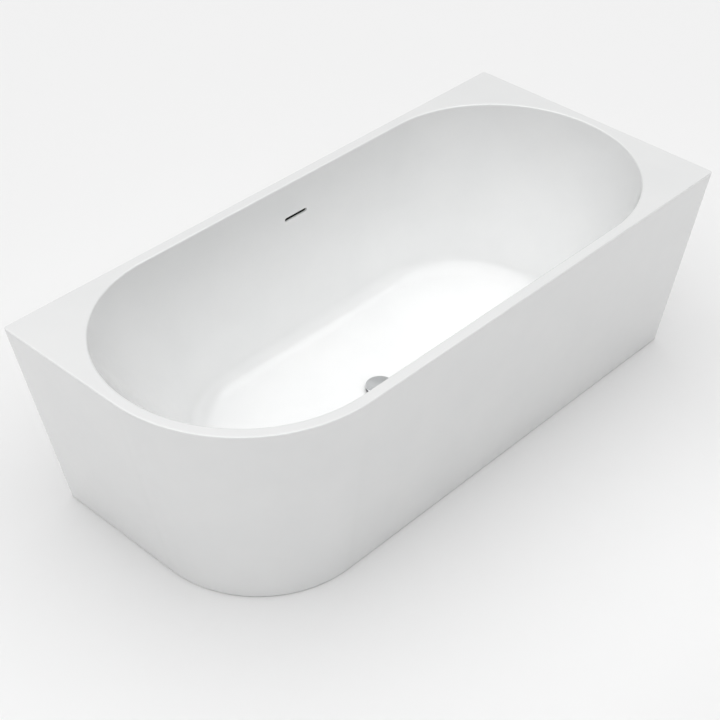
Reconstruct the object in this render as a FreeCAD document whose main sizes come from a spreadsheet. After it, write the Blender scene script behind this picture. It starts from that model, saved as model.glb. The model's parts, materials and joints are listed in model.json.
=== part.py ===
import FreeCAD, Part
import math
import os
import re

import Sketcher
from FreeCAD import Rotation, Vector

# A bathtub for the corner of a room, in millimetres. The back long side (+Y) and the right end
# (+X) stand upright against two walls. The left end and the front lean in towards the floor and
# meet in one large round corner. +Z is up, and the origin is on the floor under the middle of the rim.

DIMENSIONS = {
    # envelope and rim
    "length": 1700,
    "width": 780,
    "overall_height": 600,
    "border": 30,
    "rim_thickness": 6,
    "wall": 5,
    "front_corner": 390,
    "small_corner": 10,
    "rim_round": 4,
    "lip_round": 5,
    # basin floor
    "floor_level": 130,
    "floor_left": 510,
    "floor_right": 642,
    "floor_front": 273,
    "floor_back": 309,
    "floor_round": 40,
    # skirt
    "skirt_gap": 2,
    "skirt_wall": 5,
    "base_corner": 300,
    "left_lean": 122,
    "front_lean": 92,
    "access_left": 520,
    "access_right": 640,
    "access_top": 400,
    "access_corner": 40,
    # drain, plug and waste
    "drain_x": 12,
    "drain_y": 9,
    "drain_bore": 25,
    "boss_radius": 52,
    "boss_depth": 4,
    "recess_radius": 37,
    "recess_depth": 4,
    "washer_thickness": 1,
    "flange_radius": 35,
    "flange_thickness": 2.8,
    "tailpiece_radius": 23.8,
    "tailpiece_bore": 21,
    "tailpiece_length": 43,
    "gasket_radius": 38,
    "gasket_thickness": 3,
    "cap_radius": 39,
    "cap_thickness": 5,
    "cap_round": 2.2,
    "cap_rise": 11,
    "seal_outer": 37.5,
    "seal_inner": 27,
    "seal_thickness": 4.3,
    "stem_radius": 4,
    "stem_length": 41,
    "cartridge_radius": 8,
    "cartridge_bore": 4.3,
    "cartridge_length": 34,
    "arm_width": 3,
    "arm_height": 8,
    "branch_level": 60,
    "waste_radius": 30,
    "waste_wall": 3.5,
    "waste_bottom": 36,
    "collar_height": 5,
    "waste_roof": 12,
    "tailpiece_clearance": 0.3,
    "arm_clearance": 0.1,
    "pipe_radius": 20,
    "pipe_bore": 18,
    "socket_radius": 23,
    "socket_bore": 20.3,
    "nut_radius": 28,
    "nut_bore": 23.3,
    "nut_length": 18,
    "nut_start": 6,
    "outlet_nut_start": 9,
    "pipe_entry": 4,
    "inlet_socket": 22,
    "outlet_socket": 27,
    "trap_x": 122,
    "trap_radius": 30,
    "trap_wall": 3,
    "trap_bottom": 26,
    "trap_top": 96,
    "cup_radius": 34,
    "cup_bottom": 8,
    "cup_top": 36,
    "cup_clearance": 0.3,
    "cup_step": 2,
    "pipe_end": 380,
    "end_socket_radius": 24,
    "end_socket_depth": 35,
    # overflow
    "slot_x": 46.5,
    "slot_level": 503.5,
    "slot_length": 80,
    "slot_height": 10.5,
    "box_front": 358.5,
    "box_depth": 20,
    "box_bottom": 480,
    "box_top": 538,
    "box_margin": 10,
    "box_wall": 3,
    "gasket_side": 2,
    "gasket_foot": 4,
    "gasket_head": 6,
    "gasket_play": 0.1,
    "gasket_slot_play": 0.5,
    "spigot_radius": 9,
    "spigot_bore": 7,
    "spigot_length": 22,
    "hose_radius": 13,
    "hose_bore": 9.5,
    "hose_riser": 368,
    "hose_bend": 60,
    "hose_start": 44,
    "hose_top": 468,
    "clamp_bore": 13.3,
    "upper_clamp": 15.8,
    "lower_clamp": 18,
    "clamp_length": 18,
    # support frame
    "board_thickness": 18,
    "board_left": 470,
    "board_right": 600,
    "board_front": 215,
    "board_back": 250,
    "board_corner": 190,
    "waste_cutout": 62,
    "tube": 25,
    "tube_wall": 2,
    "rail_left": 440,
    "rail_right": 620,
    "rail_front": 140,
    "rail_rear": 170,
    "member_left": 420,
    "member_centre": 120,
    "member_right": 600,
    "member_front": 215,
    "member_rear": 255,
    "end_cap": 3,
    "tab_length": 30,
    "tab_width": 22,
    "tab_thickness": 3,
    "tab_hole": 2.6,
    "tab_from_end": 120,
    "tab_from_centre": 130,
    "screw_head": 4,
    "screw_head_height": 2.6,
    "screw_shank": 1.95,
    "screw_depth": 11,
    "pilot": 2,
    "pilot_depth": 12,
    # levelling feet
    "foot_front": 190,
    "foot_rear": 230,
    "stud_radius": 5.95,
    "stud_bottom": 8.3,
    "stud_top": 104,
    "stud_hole": 6.5,
    "collar_flats": 17,
    "collar_bottom": 22,
    "hex_collar": 8,
    "nut_flats": 19,
    "nut_height": 10,
    "nut_thread": 6.1,
    "pad_radius": 27,
    "pad_base": 6,
    "pad_shoulder": 20,
    "pad_neck": 11,
    "pad_top": 20,
    "pad_socket": 6.25,
    "pad_socket_floor": 8,
    # corner blocks under the rim's wide decks
    "block_leg": 140,
    "block_thickness": 18,
    "block_inset": 12,
}

HEX_CORNER_PER_FLAT = 0.57735

doc = FreeCAD.newDocument("corner_bathtub")
nodes = {}


def fill_sheet():
    """The driving dimensions, one named cell each."""
    table = doc.addObject("Spreadsheet::Sheet", "dims")
    for row, (alias, value) in enumerate(DIMENSIONS.items(), start=1):
        table.set(f"A{row}", alias)
        table.set(f"B{row}", str(value))
        table.setAlias(f"B{row}", alias)
    doc.recompute()
    return table


sheet = fill_sheet()


def cells(formula):
    """The formula with each dimension's name turned into a reference to its cell."""

    def reference(match):
        word = match.group()
        return f"<<dims>>.{word}" if word in DIMENSIONS else word

    return re.sub(r"[a-z_]+", reference, str(formula))


def value(formula):
    """The formula's number now, for a sketch's first guess."""
    return float(sheet.evalExpression(cells(formula)))


def bind(thing, **formulas):
    """Ties properties to formulas; x, y and z are the placement's position."""
    for name, formula in formulas.items():
        target = f"Placement.Base.{name}" if name in ("x", "y", "z") else name
        thing.setExpression(target, cells(formula))


def keep(label, thing):
    """Marks a finished object as a sub-part of the bathtub."""
    thing.Label = label
    nodes[label] = thing
    return thing


# ---- plain solids -------------------------------------------------------------------------

ALONG_Z = Rotation()
ALONG_Y = Rotation(Vector(1, 0, 0), -90)
ALONG_X = Rotation(Vector(0, 1, 0), 90)
AGAINST_X = Rotation(Vector(0, 1, 0), -90)


def rod(radius, length, x="drain_x", y="drain_y", z="0", turn=ALONG_Z):
    """A cylinder whose base centre is at x, y, z, running along the turned +Z."""
    solid = doc.addObject("Part::Cylinder", "rod")
    solid.Placement.Rotation = turn
    bind(solid, Radius=radius, Height=length, x=x, y=y, z=z)
    return solid


def cone(radius, end_radius, length, x, y, z):
    solid = doc.addObject("Part::Cone", "cone")
    bind(solid, Radius1=radius, Radius2=end_radius, Height=length, x=x, y=y, z=z)
    return solid


def hexagon(flats, length, x, y, z):
    """A hexagonal prism, given its size across flats."""
    solid = doc.addObject("Part::Prism", "hexagon")
    solid.Polygon = 6
    bind(solid, Circumradius=f"({flats}) * {HEX_CORNER_PER_FLAT}", Height=length, x=x, y=y, z=z)
    return solid


def block(length, width, height, x, y, z):
    """A box whose lowest corner is at x, y, z."""
    solid = doc.addObject("Part::Box", "block")
    bind(solid, Length=length, Width=width, Height=height, x=x, y=y, z=z)
    return solid


def cut(base, *tools):
    """The base with each tool taken away."""
    for tool in tools:
        result = doc.addObject("Part::Cut", "cut")
        result.Base = base
        result.Tool = tool
        base = result
    return base


def join(*solids):
    result = doc.addObject("Part::MultiFuse", "join")
    result.Shapes = list(solids)
    return result


def group(*solids):
    """Separate solids that share one node."""
    result = doc.addObject("Part::Compound", "group")
    result.Links = list(solids)
    return result


def ring(radius, bore, length, **place):
    return cut(rod(radius, length, **place), rod(bore, length, **place))


# ---- sketches and part design -------------------------------------------------------------


def new_body(label):
    return keep(label, doc.addObject("PartDesign::Body", label))


def sketch_on(body, name, role, offset="0"):
    """A sketch on the body's own origin plane, moved along the plane's normal."""
    sketch = body.newObject("Sketcher::SketchObject", name)
    plane = next(item for item in body.Origin.OriginFeatures if item.Role == role)
    sketch.AttachmentSupport = [(plane, "")]
    sketch.MapMode = "FlatFace"
    sketch.setExpression("AttachmentOffset.Base.z", cells(offset))
    return sketch


def measure(sketch, kind, *geometry, formula):
    """A dimension of the sketch that follows a formula."""
    index = sketch.addConstraint(Sketcher.Constraint(kind, *geometry, value(formula)))
    sketch.setExpression(f"Constraints[{index}]", cells(formula))


def hold(sketch, kind, geometry, point, formula):
    """Keeps a point at a signed distance from the sketch's origin, along X or Y."""
    if value(formula) < 0:
        measure(sketch, kind, geometry, point, -1, 1, formula=f"-({formula})")
    else:
        measure(sketch, kind, -1, 1, geometry, point, formula=formula)


def line(sketch, start, end):
    return sketch.addGeometry(Part.LineSegment(Vector(*start, 0), Vector(*end, 0)))


def arc(sketch, centre, radius, start_deg, end_deg):
    circle = Part.Circle(Vector(*centre, 0), Vector(0, 0, 1), radius)
    return sketch.addGeometry(Part.ArcOfCircle(circle, math.radians(start_deg), math.radians(end_deg)))


def chain(sketch, count):
    """Joins each piece of a closed outline smoothly to the next."""
    for index in range(count):
        follower = (index + 1) % count
        sketch.addConstraint(Sketcher.Constraint("Tangent", index, 2, follower, 1))


def stadium(sketch, left_centre, right_centre, front, back):
    """Two straight sides joined by half circles whose centres are at the given X."""
    low, high = value(front), value(back)
    radius = (high - low) / 2
    middle = (high + low) / 2
    left, right = value(left_centre), value(right_centre)
    line(sketch, (left, low), (right, low))
    arc(sketch, (right, middle), radius, -90, 90)
    line(sketch, (right, high), (left, high))
    arc(sketch, (left, middle), radius, 90, 270)
    chain(sketch, 4)
    for side in (0, 2):
        sketch.addConstraint(Sketcher.Constraint("Horizontal", side))
    hold(sketch, "DistanceY", 0, 1, front)
    hold(sketch, "DistanceY", 2, 1, back)
    hold(sketch, "DistanceX", 1, 3, right_centre)
    hold(sketch, "DistanceX", 3, 3, left_centre)
    return sketch


def rounded_box(sketch, left, right, front, back, corners):
    """A rectangle with four round corners: front right, back right, back left, front left."""
    west, east, south, north = (value(side) for side in (left, right, front, back))
    radii = [value(corner) for corner in corners]
    ends = [(east, south), (east, north), (west, north), (west, south)]
    steps = [(-1, 1), (-1, -1), (1, -1), (1, 1)]
    centres = [
        (x + sx * radius, y + sy * radius)
        for (x, y), (sx, sy), radius in zip(ends, steps, radii)
    ]
    line(sketch, (centres[3][0], south), (centres[0][0], south))
    arc(sketch, centres[0], radii[0], -90, 0)
    line(sketch, (east, centres[0][1]), (east, centres[1][1]))
    arc(sketch, centres[1], radii[1], 0, 90)
    line(sketch, (centres[1][0], north), (centres[2][0], north))
    arc(sketch, centres[2], radii[2], 90, 180)
    line(sketch, (west, centres[2][1]), (west, centres[3][1]))
    arc(sketch, centres[3], radii[3], 180, 270)
    chain(sketch, 8)
    for side, direction in enumerate(("Horizontal", "Vertical") * 2):
        sketch.addConstraint(Sketcher.Constraint(direction, 2 * side))
        measure(sketch, "Radius", 2 * side + 1, formula=corners[side])
    hold(sketch, "DistanceY", 0, 1, front)
    hold(sketch, "DistanceX", 2, 1, right)
    hold(sketch, "DistanceY", 4, 1, back)
    hold(sketch, "DistanceX", 6, 1, left)
    return sketch


def round_hole(sketch, radius, x, y):
    circle = Part.Circle(Vector(value(x), value(y), 0), Vector(0, 0, 1), value(radius))
    index = sketch.addGeometry(circle)
    measure(sketch, "Radius", index, formula=radius)
    hold(sketch, "DistanceX", index, 3, x)
    hold(sketch, "DistanceY", index, 3, y)
    return sketch


def extrude(body, kind, name, sketch, length, reverse=False):
    feature = body.newObject(f"PartDesign::{kind}", name)
    feature.Profile = sketch
    feature.Reversed = reverse
    feature.setExpression("Length", cells(length))
    body.Tip = feature
    doc.recompute()
    return feature


def loft(body, kind, name, first, second):
    """A straight-sided loft from one outline to the other."""
    feature = body.newObject(f"PartDesign::{kind}", name)
    feature.Profile = first
    feature.Sections = [second]
    feature.Ruled = True
    body.Tip = feature
    doc.recompute()
    return feature


def soften(body, name, radius, wanted):
    """Rounds the edges of the body's tip for which wanted(edge) is true."""
    tip = body.Tip
    chosen = [
        f"Edge{number}"
        for number, edge in enumerate(tip.Shape.Edges, start=1)
        if wanted(edge)
    ]
    feature = body.newObject("PartDesign::Fillet", name)
    feature.Base = (tip, chosen)
    feature.setExpression("Radius", cells(radius))
    body.Tip = feature
    doc.recompute()
    return feature


def level_edge(height):
    """A test for edges that lie at one height."""
    level = value(height)

    def test(edge):
        box = edge.BoundBox
        return abs(box.ZMin - level) < 0.01 and abs(box.ZMax - level) < 0.01

    return test


# ---- basin and skirt ----------------------------------------------------------------------

RIM_BOTTOM = "overall_height - rim_thickness"
OPENING_CENTRE = "(length - width) / 2"
OPENING_HALF_WIDTH = "width / 2 - border"
FLOOR_RADIUS = "(floor_front + floor_back) / 2"
FLOOR_LEFT_CENTRE = f"{FLOOR_RADIUS} - floor_left"
FLOOR_RIGHT_CENTRE = f"floor_right - {FLOOR_RADIUS}"
UNDERSIDE = "floor_level - wall"


def inside_opening(edge):
    limit = value("(length - border) / 2")
    return -limit < edge.BoundBox.XMin and edge.BoundBox.XMax < limit


def make_basin():
    """The bathing shell: a flat rim, leaning walls and a floor with a drain and an overflow."""
    body = new_body("basin")
    half_length, half_width = "length / 2", "width / 2"
    rim_sketch = rounded_box(
        sketch_on(body, "rim_outline", "XY_Plane", RIM_BOTTOM),
        f"-{half_length}",
        half_length,
        f"-{half_width}",
        half_width,
        ["small_corner", "small_corner", "small_corner", "front_corner"],
    )
    extrude(body, "Pad", "rim", rim_sketch, "rim_thickness")

    def outline(name, level, grow, top):
        sketch = sketch_on(body, name, "XY_Plane", level)
        if top:
            side = f"{OPENING_HALF_WIDTH} + {grow}"
            return stadium(sketch, f"-{OPENING_CENTRE}", OPENING_CENTRE, f"-({side})", side)
        front, back = f"-(floor_front + {grow})", f"floor_back + {grow}"
        return stadium(sketch, FLOOR_LEFT_CENTRE, FLOOR_RIGHT_CENTRE, front, back)

    loft(
        body,
        "AdditiveLoft",
        "bowl",
        outline("bowl_top", "overall_height", "wall", True),
        outline("bowl_bottom", UNDERSIDE, "wall", False),
    )
    loft(
        body,
        "SubtractiveLoft",
        "cavity",
        outline("cavity_top", "overall_height", "0", True),
        outline("cavity_floor", "floor_level", "0", False),
    )
    soften(body, "floor_soften", "floor_round", level_edge("floor_level"))
    soften(body, "underside_round", "floor_round + wall", level_edge(UNDERSIDE))
    boss = round_hole(
        sketch_on(body, "boss_outline", "XY_Plane", UNDERSIDE), "boss_radius", "drain_x", "drain_y"
    )
    extrude(body, "Pad", "drain_boss", boss, "boss_depth", reverse=True)
    top_edge = level_edge("overall_height")
    soften(body, "lip", "lip_round", lambda edge: top_edge(edge) and inside_opening(edge))
    soften(body, "rim_edge", "rim_round", lambda edge: top_edge(edge) and not inside_opening(edge))
    recess = round_hole(
        sketch_on(body, "recess_outline", "XY_Plane", "floor_level"),
        "recess_radius",
        "drain_x",
        "drain_y",
    )
    extrude(body, "Pocket", "drain_recess", recess, "recess_depth")
    drain = round_hole(
        sketch_on(body, "drain_outline", "XY_Plane", "floor_level"), "drain_bore", "drain_x", "drain_y"
    )
    extrude(body, "Pocket", "drain_hole", drain, "floor_level / 2")
    slot = stadium(
        sketch_on(body, "slot_outline", "XZ_Plane", "-(box_front - 4 * wall)"),
        "slot_x - (slot_length - slot_height) / 2",
        "slot_x + (slot_length - slot_height) / 2",
        "slot_level - slot_height / 2",
        "slot_level + slot_height / 2",
    )
    extrude(body, "Pocket", "overflow_slot", slot, "5 * wall")


def make_skirt():
    """The outer panel: upright at the back and right, leaning in at the left and front."""
    body = new_body("skirt")

    def outline(name, level, left, front, corner, inset):
        return rounded_box(
            sketch_on(body, name, "XY_Plane", level),
            f"-(length / 2 - {left} - {inset})",
            f"length / 2 - {inset}",
            f"-(width / 2 - {front} - {inset})",
            f"width / 2 - {inset}",
            [f"small_corner - {inset}"] * 3 + [f"{corner} - {inset}"],
        )

    for kind, name, inset in (
        ("AdditiveLoft", "outer", "0"),
        ("SubtractiveLoft", "inner", "skirt_wall"),
    ):
        top = outline(f"{name}_top", RIM_BOTTOM, "0", "0", "front_corner", inset)
        base = outline(f"{name}_base", "skirt_gap", "left_lean", "front_lean", "base_corner", inset)
        loft(body, kind, name, top, base)
    access = rounded_box(
        sketch_on(body, "access_outline", "XZ_Plane", "-(width / 2 - 3 * skirt_wall)"),
        "-access_left",
        "access_right",
        "-access_top",
        "access_top",
        ["access_corner"] * 4,
    )
    extrude(body, "Pocket", "rear_access", access, "4 * skirt_wall")


def make_corner_blocks():
    """Plywood triangles that stiffen the rim's three wide corner decks."""
    blocks = []
    for side_x, side_y, turn in ((-1, 1, -90), (1, 1, 180), (1, -1, 90)):
        wedge = doc.addObject("Part::Wedge", "corner_block")
        wedge.Placement.Rotation = Rotation(Vector(0, 0, 1), turn)
        bind(wedge, Xmax="block_leg", Ymax="block_leg", Zmax="block_thickness")
        bind(wedge, Z2max="block_thickness")
        for side in ("Xmin", "Ymin", "Zmin", "X2min", "X2max", "Z2min"):
            setattr(wedge, side, 0)
        bind(
            wedge,
            x=f"{side_x} * (length / 2 - block_inset)",
            y=f"{side_y} * (width / 2 - block_inset)",
            z=f"{RIM_BOTTOM} - block_thickness",
        )
        blocks.append(wedge)
    keep("corner_blocks", group(*blocks))


# ---- drain, plug and trap -----------------------------------------------------------------

RECESS = "(floor_level - recess_depth)"
FLANGE_BOTTOM = f"({RECESS} + washer_thickness)"
BOSS_BOTTOM = "(floor_level - wall - boss_depth)"
WASTE_TOP = f"({BOSS_BOTTOM} - gasket_thickness)"
CAP_BOTTOM = "(floor_level + cap_rise)"
TRAP_CENTRE = "(drain_x - trap_x)"


def make_drain():
    """The flange, its seals and the pop-up plug with its cartridge."""
    keep("drain_washer", ring("flange_radius", "drain_bore", "washer_thickness", z=RECESS))
    flange = join(
        rod("flange_radius", "flange_thickness", z=FLANGE_BOTTOM),
        rod("tailpiece_radius", "tailpiece_length", z=f"{FLANGE_BOTTOM} - tailpiece_length"),
    )
    tailpiece_base = f"{FLANGE_BOTTOM} - tailpiece_length"
    way = rod("tailpiece_bore", "tailpiece_length + flange_thickness", z=tailpiece_base)
    keep("drain_flange", cut(flange, way))
    keep("drain_gasket", ring("gasket_radius", "drain_bore", "gasket_thickness", z=WASTE_TOP))

    barrel_base = f"{FLANGE_BOTTOM} - cartridge_length - flange_thickness"
    arms = [
        block(
            "2 * (tailpiece_bore - arm_clearance)",
            "arm_width",
            "arm_height",
            "drain_x - tailpiece_bore + arm_clearance",
            "drain_y - arm_width / 2",
            barrel_base,
        ),
        block(
            "arm_width",
            "2 * (tailpiece_bore - arm_clearance)",
            "arm_height",
            "drain_x - arm_width / 2",
            "drain_y - tailpiece_bore + arm_clearance",
            barrel_base,
        ),
    ]
    barrel = join(rod("cartridge_radius", "cartridge_length", z=barrel_base), *arms)
    bore = rod("cartridge_bore", "cartridge_length", z=barrel_base)
    keep("plug_cartridge", cut(barrel, bore))

    cap = new_body("plug_cap")
    disc = round_hole(
        sketch_on(cap, "cap_outline", "XY_Plane", CAP_BOTTOM), "cap_radius", "drain_x", "drain_y"
    )
    extrude(cap, "Pad", "cap_disc", disc, "cap_thickness")
    soften(cap, "cap_edge", "cap_round", level_edge(f"{CAP_BOTTOM} + cap_thickness"))
    seal_base = f"{CAP_BOTTOM} - seal_thickness"
    keep("plug_seal", ring("seal_outer", "seal_inner", "seal_thickness", z=seal_base))
    keep("plug_stem", rod("stem_radius", "stem_length", z=f"{CAP_BOTTOM} - stem_length"))


def make_waste():
    """The body under the drain, with its branches to the overflow hose and to the trap."""
    place = {"z": "branch_level"}
    inside = "waste_radius - waste_wall"
    inside_bottom = "waste_bottom + waste_wall"
    inside_height = f"{WASTE_TOP} - ({inside_bottom})"
    shell = join(
        rod("waste_radius", f"{WASTE_TOP} - waste_bottom", z="waste_bottom"),
        rod("gasket_radius", "collar_height", z=f"{WASTE_TOP} - collar_height"),
        rod("pipe_radius", "trap_x - trap_radius - nut_start", turn=AGAINST_X, **place),
        rod("spigot_radius", "waste_radius + spigot_length", turn=ALONG_Y, **place),
    )
    chamber = rod(inside, f"{inside_height} - waste_roof", z=inside_bottom)
    throat = rod("tailpiece_radius + tailpiece_clearance", inside_height, z=inside_bottom)
    trap_way = rod("pipe_bore", "trap_x", turn=AGAINST_X, **place)
    hose_way = rod("spigot_bore", "waste_radius + spigot_length", turn=ALONG_Y, **place)
    keep("waste_body", cut(shell, chamber, throat, trap_way, hose_way))


def make_trap():
    """A bottle trap with a screwed cup, and the pipe that leads to the wall."""
    shell = join(
        rod("trap_radius", "trap_top - trap_bottom", x=TRAP_CENTRE, z="trap_bottom"),
        rod("socket_radius", "trap_radius + inlet_socket", x=TRAP_CENTRE, z="branch_level", turn=ALONG_X),
        rod("socket_radius", "trap_radius + outlet_socket", x=TRAP_CENTRE, z="branch_level", turn=ALONG_Y),
    )
    chamber = rod(
        "trap_radius - trap_wall", "trap_top - trap_bottom - trap_wall", x=TRAP_CENTRE, z="trap_bottom"
    )
    inlet = rod("socket_bore", "trap_radius + inlet_socket", x=TRAP_CENTRE, z="branch_level", turn=ALONG_X)
    outlet = rod("socket_bore", "trap_radius + outlet_socket", x=TRAP_CENTRE, z="branch_level", turn=ALONG_Y)
    keep("trap_body", cut(shell, chamber, inlet, outlet))

    cup = rod("cup_radius", "cup_top - cup_bottom", x=TRAP_CENTRE, z="cup_bottom")
    thread_base = "trap_bottom - cup_step"
    thread_length = f"cup_top - ({thread_base})"
    thread = rod("trap_radius + cup_clearance", thread_length, x=TRAP_CENTRE, z=thread_base)
    sump = rod("trap_radius - cup_step", "cup_top - cup_bottom", x=TRAP_CENTRE, z="cup_bottom + trap_wall")
    keep("trap_cup", cut(cup, thread, sump))

    inlet_nut = ring(
        "nut_radius",
        "nut_bore",
        "nut_length",
        x=f"{TRAP_CENTRE} + trap_radius + nut_start",
        z="branch_level",
        turn=ALONG_X,
    )
    outlet_nut = ring(
        "nut_radius",
        "nut_bore",
        "nut_length",
        x=TRAP_CENTRE,
        y="drain_y + trap_radius + outlet_nut_start",
        z="branch_level",
        turn=ALONG_Y,
    )
    keep("trap_nuts", group(inlet_nut, outlet_nut))

    pipe_start = "drain_y + trap_radius + pipe_entry"
    socket_floor = "pipe_end - end_socket_depth"
    place = {"x": TRAP_CENTRE, "z": "branch_level", "turn": ALONG_Y}
    pipe = join(
        rod("pipe_radius", f"{socket_floor} - ({pipe_start})", y=pipe_start, **place),
        rod("end_socket_radius", "end_socket_depth + trap_wall", y=f"{socket_floor} - trap_wall", **place),
    )
    way = rod("pipe_bore", f"pipe_end - ({pipe_start})", y=pipe_start, **place)
    mouth = rod("socket_bore", "end_socket_depth", y=socket_floor, **place)
    keep("outlet_pipe", cut(pipe, way, mouth))


# ---- overflow -----------------------------------------------------------------------------


def wall_back(level):
    """The basin wall's outer face, as a Y position at the given height."""
    drop = f"(overall_height - ({level})) / (overall_height - floor_level + wall)"
    return f"({OPENING_HALF_WIDTH} + wall - ({OPENING_HALF_WIDTH} - floor_back) * {drop})"


def make_overflow():
    """The box behind the overflow slot, its wedge gasket, and the hose down to the waste."""
    box_left = "slot_x - slot_length / 2 - box_margin"
    box_length = "slot_length + 2 * box_margin"
    box_height = "box_top - box_bottom"
    shell = join(
        block(box_length, "box_depth", box_height, box_left, "box_front", "box_bottom"),
        rod("spigot_radius", "spigot_length", y="hose_riser", z="box_bottom - spigot_length"),
    )
    chamber = block(
        f"{box_length} - 2 * box_wall",
        "box_depth - box_wall",
        f"{box_height} - 2 * box_wall",
        f"{box_left} + box_wall",
        "box_front",
        "box_bottom + box_wall",
    )
    drop = rod("spigot_bore", "spigot_length + 2 * box_wall", y="hose_riser", z="box_bottom - spigot_length")
    keep("overflow_box", cut(shell, chamber, drop))

    gasket = new_body("overflow_gasket")
    section = sketch_on(gasket, "gasket_section", "YZ_Plane", f"{box_left} + gasket_side")
    low, high = "box_bottom + gasket_foot", "box_top - gasket_head"
    corners = [
        (f"{wall_back(low)} + gasket_play", low),
        ("box_front - gasket_play / 2", low),
        ("box_front - gasket_play / 2", high),
        (f"{wall_back(high)} + gasket_play", high),
    ]
    spots = [(value(y), value(z)) for y, z in corners]
    for start, end in zip(spots, spots[1:] + spots[:1]):
        line(section, start, end)
    for index in range(len(spots)):
        follower = (index + 1) % len(spots)
        section.addConstraint(Sketcher.Constraint("Coincident", index, 2, follower, 1))
    for index, (y, z) in enumerate(corners):
        hold(section, "DistanceX", index, 1, y)
        hold(section, "DistanceY", index, 1, z)
    extrude(gasket, "Pad", "gasket_wedge", section, f"{box_length} - 2 * gasket_side")
    opening = stadium(
        sketch_on(gasket, "gasket_opening", "XZ_Plane", "-(box_front - 4 * wall)"),
        "slot_x - (slot_length - slot_height) / 2",
        "slot_x + (slot_length - slot_height) / 2",
        "slot_level - slot_height / 2 - gasket_slot_play",
        "slot_level + slot_height / 2 + gasket_slot_play",
    )
    extrude(gasket, "Pocket", "gasket_slot", opening, "5 * wall")

    hose = new_body("overflow_hose")
    path = sketch_on(hose, "hose_path", "YZ_Plane", "drain_x")
    start, riser = value("hose_start"), value("hose_riser")
    level, bend, top = value("branch_level"), value("hose_bend"), value("hose_top")
    line(path, (start, level), (riser - bend, level))
    arc(path, (riser - bend, level + bend), bend, -90, 0)
    line(path, (riser, level + bend), (riser, top))
    path.addConstraint(Sketcher.Constraint("Tangent", 0, 2, 1, 1))
    path.addConstraint(Sketcher.Constraint("Tangent", 1, 2, 2, 1))
    path.addConstraint(Sketcher.Constraint("Horizontal", 0))
    path.addConstraint(Sketcher.Constraint("Vertical", 2))
    measure(path, "Radius", 1, formula="hose_bend")
    hold(path, "DistanceX", 0, 1, "hose_start")
    hold(path, "DistanceY", 0, 1, "branch_level")
    hold(path, "DistanceX", 2, 1, "hose_riser")
    hold(path, "DistanceY", 2, 2, "hose_top")
    for kind, name, radius in (
        ("AdditivePipe", "hose_outer", "hose_radius"),
        ("SubtractivePipe", "hose_inner", "hose_bore"),
    ):
        profile = sketch_on(hose, f"{name}_profile", "XZ_Plane", "-hose_start")
        round_hole(profile, radius, "drain_x", "branch_level")
        pipe = hose.newObject(f"PartDesign::{kind}", name)
        pipe.Profile = profile
        pipe.Spine = (path, ["Edge1", "Edge2", "Edge3"])
        hose.Tip = pipe
        doc.recompute()

    keep(
        "hose_clamp_upper",
        ring("upper_clamp", "clamp_bore", "clamp_length", y="hose_riser", z="hose_top - clamp_length"),
    )
    keep(
        "hose_clamp_lower",
        ring("lower_clamp", "clamp_bore", "clamp_length", y="hose_start", z="branch_level", turn=ALONG_Y),
    )


# ---- support frame ------------------------------------------------------------------------

BOARD_BOTTOM = f"({UNDERSIDE} - board_thickness)"
RAIL_BOTTOM = f"({BOARD_BOTTOM} - tube)"
MEMBER_BOTTOM = f"({RAIL_BOTTOM} - tube)"
RAILS = {"front": "-rail_front", "rear": "rail_rear"}
MEMBERS = {"left": "-member_left", "centre": "member_centre", "right": "member_right"}
FOOT_ROWS = {"front": "-foot_front", "rear": "foot_rear"}
TAB_STATIONS = ["-rail_left + tab_from_end", "member_centre + tab_from_centre", "rail_right - tab_from_end"]


def tab_spots():
    """Each fixing tab's centre, just outside its rail."""
    spots = []
    for side, rail in ((-1, RAILS["front"]), (1, RAILS["rear"])):
        for station in TAB_STATIONS:
            spots.append((station, f"{rail} + {side} * (tube + tab_width) / 2"))
    return spots


def make_board():
    """The reinforcing board bonded under the basin's floor, with a cut-out for the waste."""
    body = new_body("floor_board")
    sides = ("-board_left", "board_right", "-board_front", "board_back")
    outline = sketch_on(body, "board_outline", "XY_Plane", BOARD_BOTTOM)
    rounded_box(outline, *sides, ["board_corner"] * 4)
    extrude(body, "Pad", "board", outline, "board_thickness")
    cutout = sketch_on(body, "waste_outline", "XY_Plane", BOARD_BOTTOM)
    round_hole(cutout, "waste_cutout", "drain_x", "drain_y")
    extrude(body, "Pocket", "waste_opening", cutout, "board_thickness", reverse=True)
    pilots = sketch_on(body, "pilot_outline", "XY_Plane", BOARD_BOTTOM)
    for x, y in tab_spots():
        round_hole(pilots, "pilot", x, y)
    extrude(body, "Pocket", "pilot_holes", pilots, "pilot_depth", reverse=True)


def square_tube(x, y, z, length, along_x):
    """A square tube from the given corner, along X or along Y."""
    inner = "tube - 2 * tube_wall"
    step_x, step_y = ("0", "tube_wall") if along_x else ("tube_wall", "0")
    outer_size = (length, "tube") if along_x else ("tube", length)
    inner_size = (length, inner) if along_x else (inner, length)
    outer = block(*outer_size, "tube", x, y, z)
    hollow = block(*inner_size, inner, f"{x} + {step_x}", f"{y} + {step_y}", f"{z} + tube_wall")
    return cut(outer, hollow)


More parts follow.
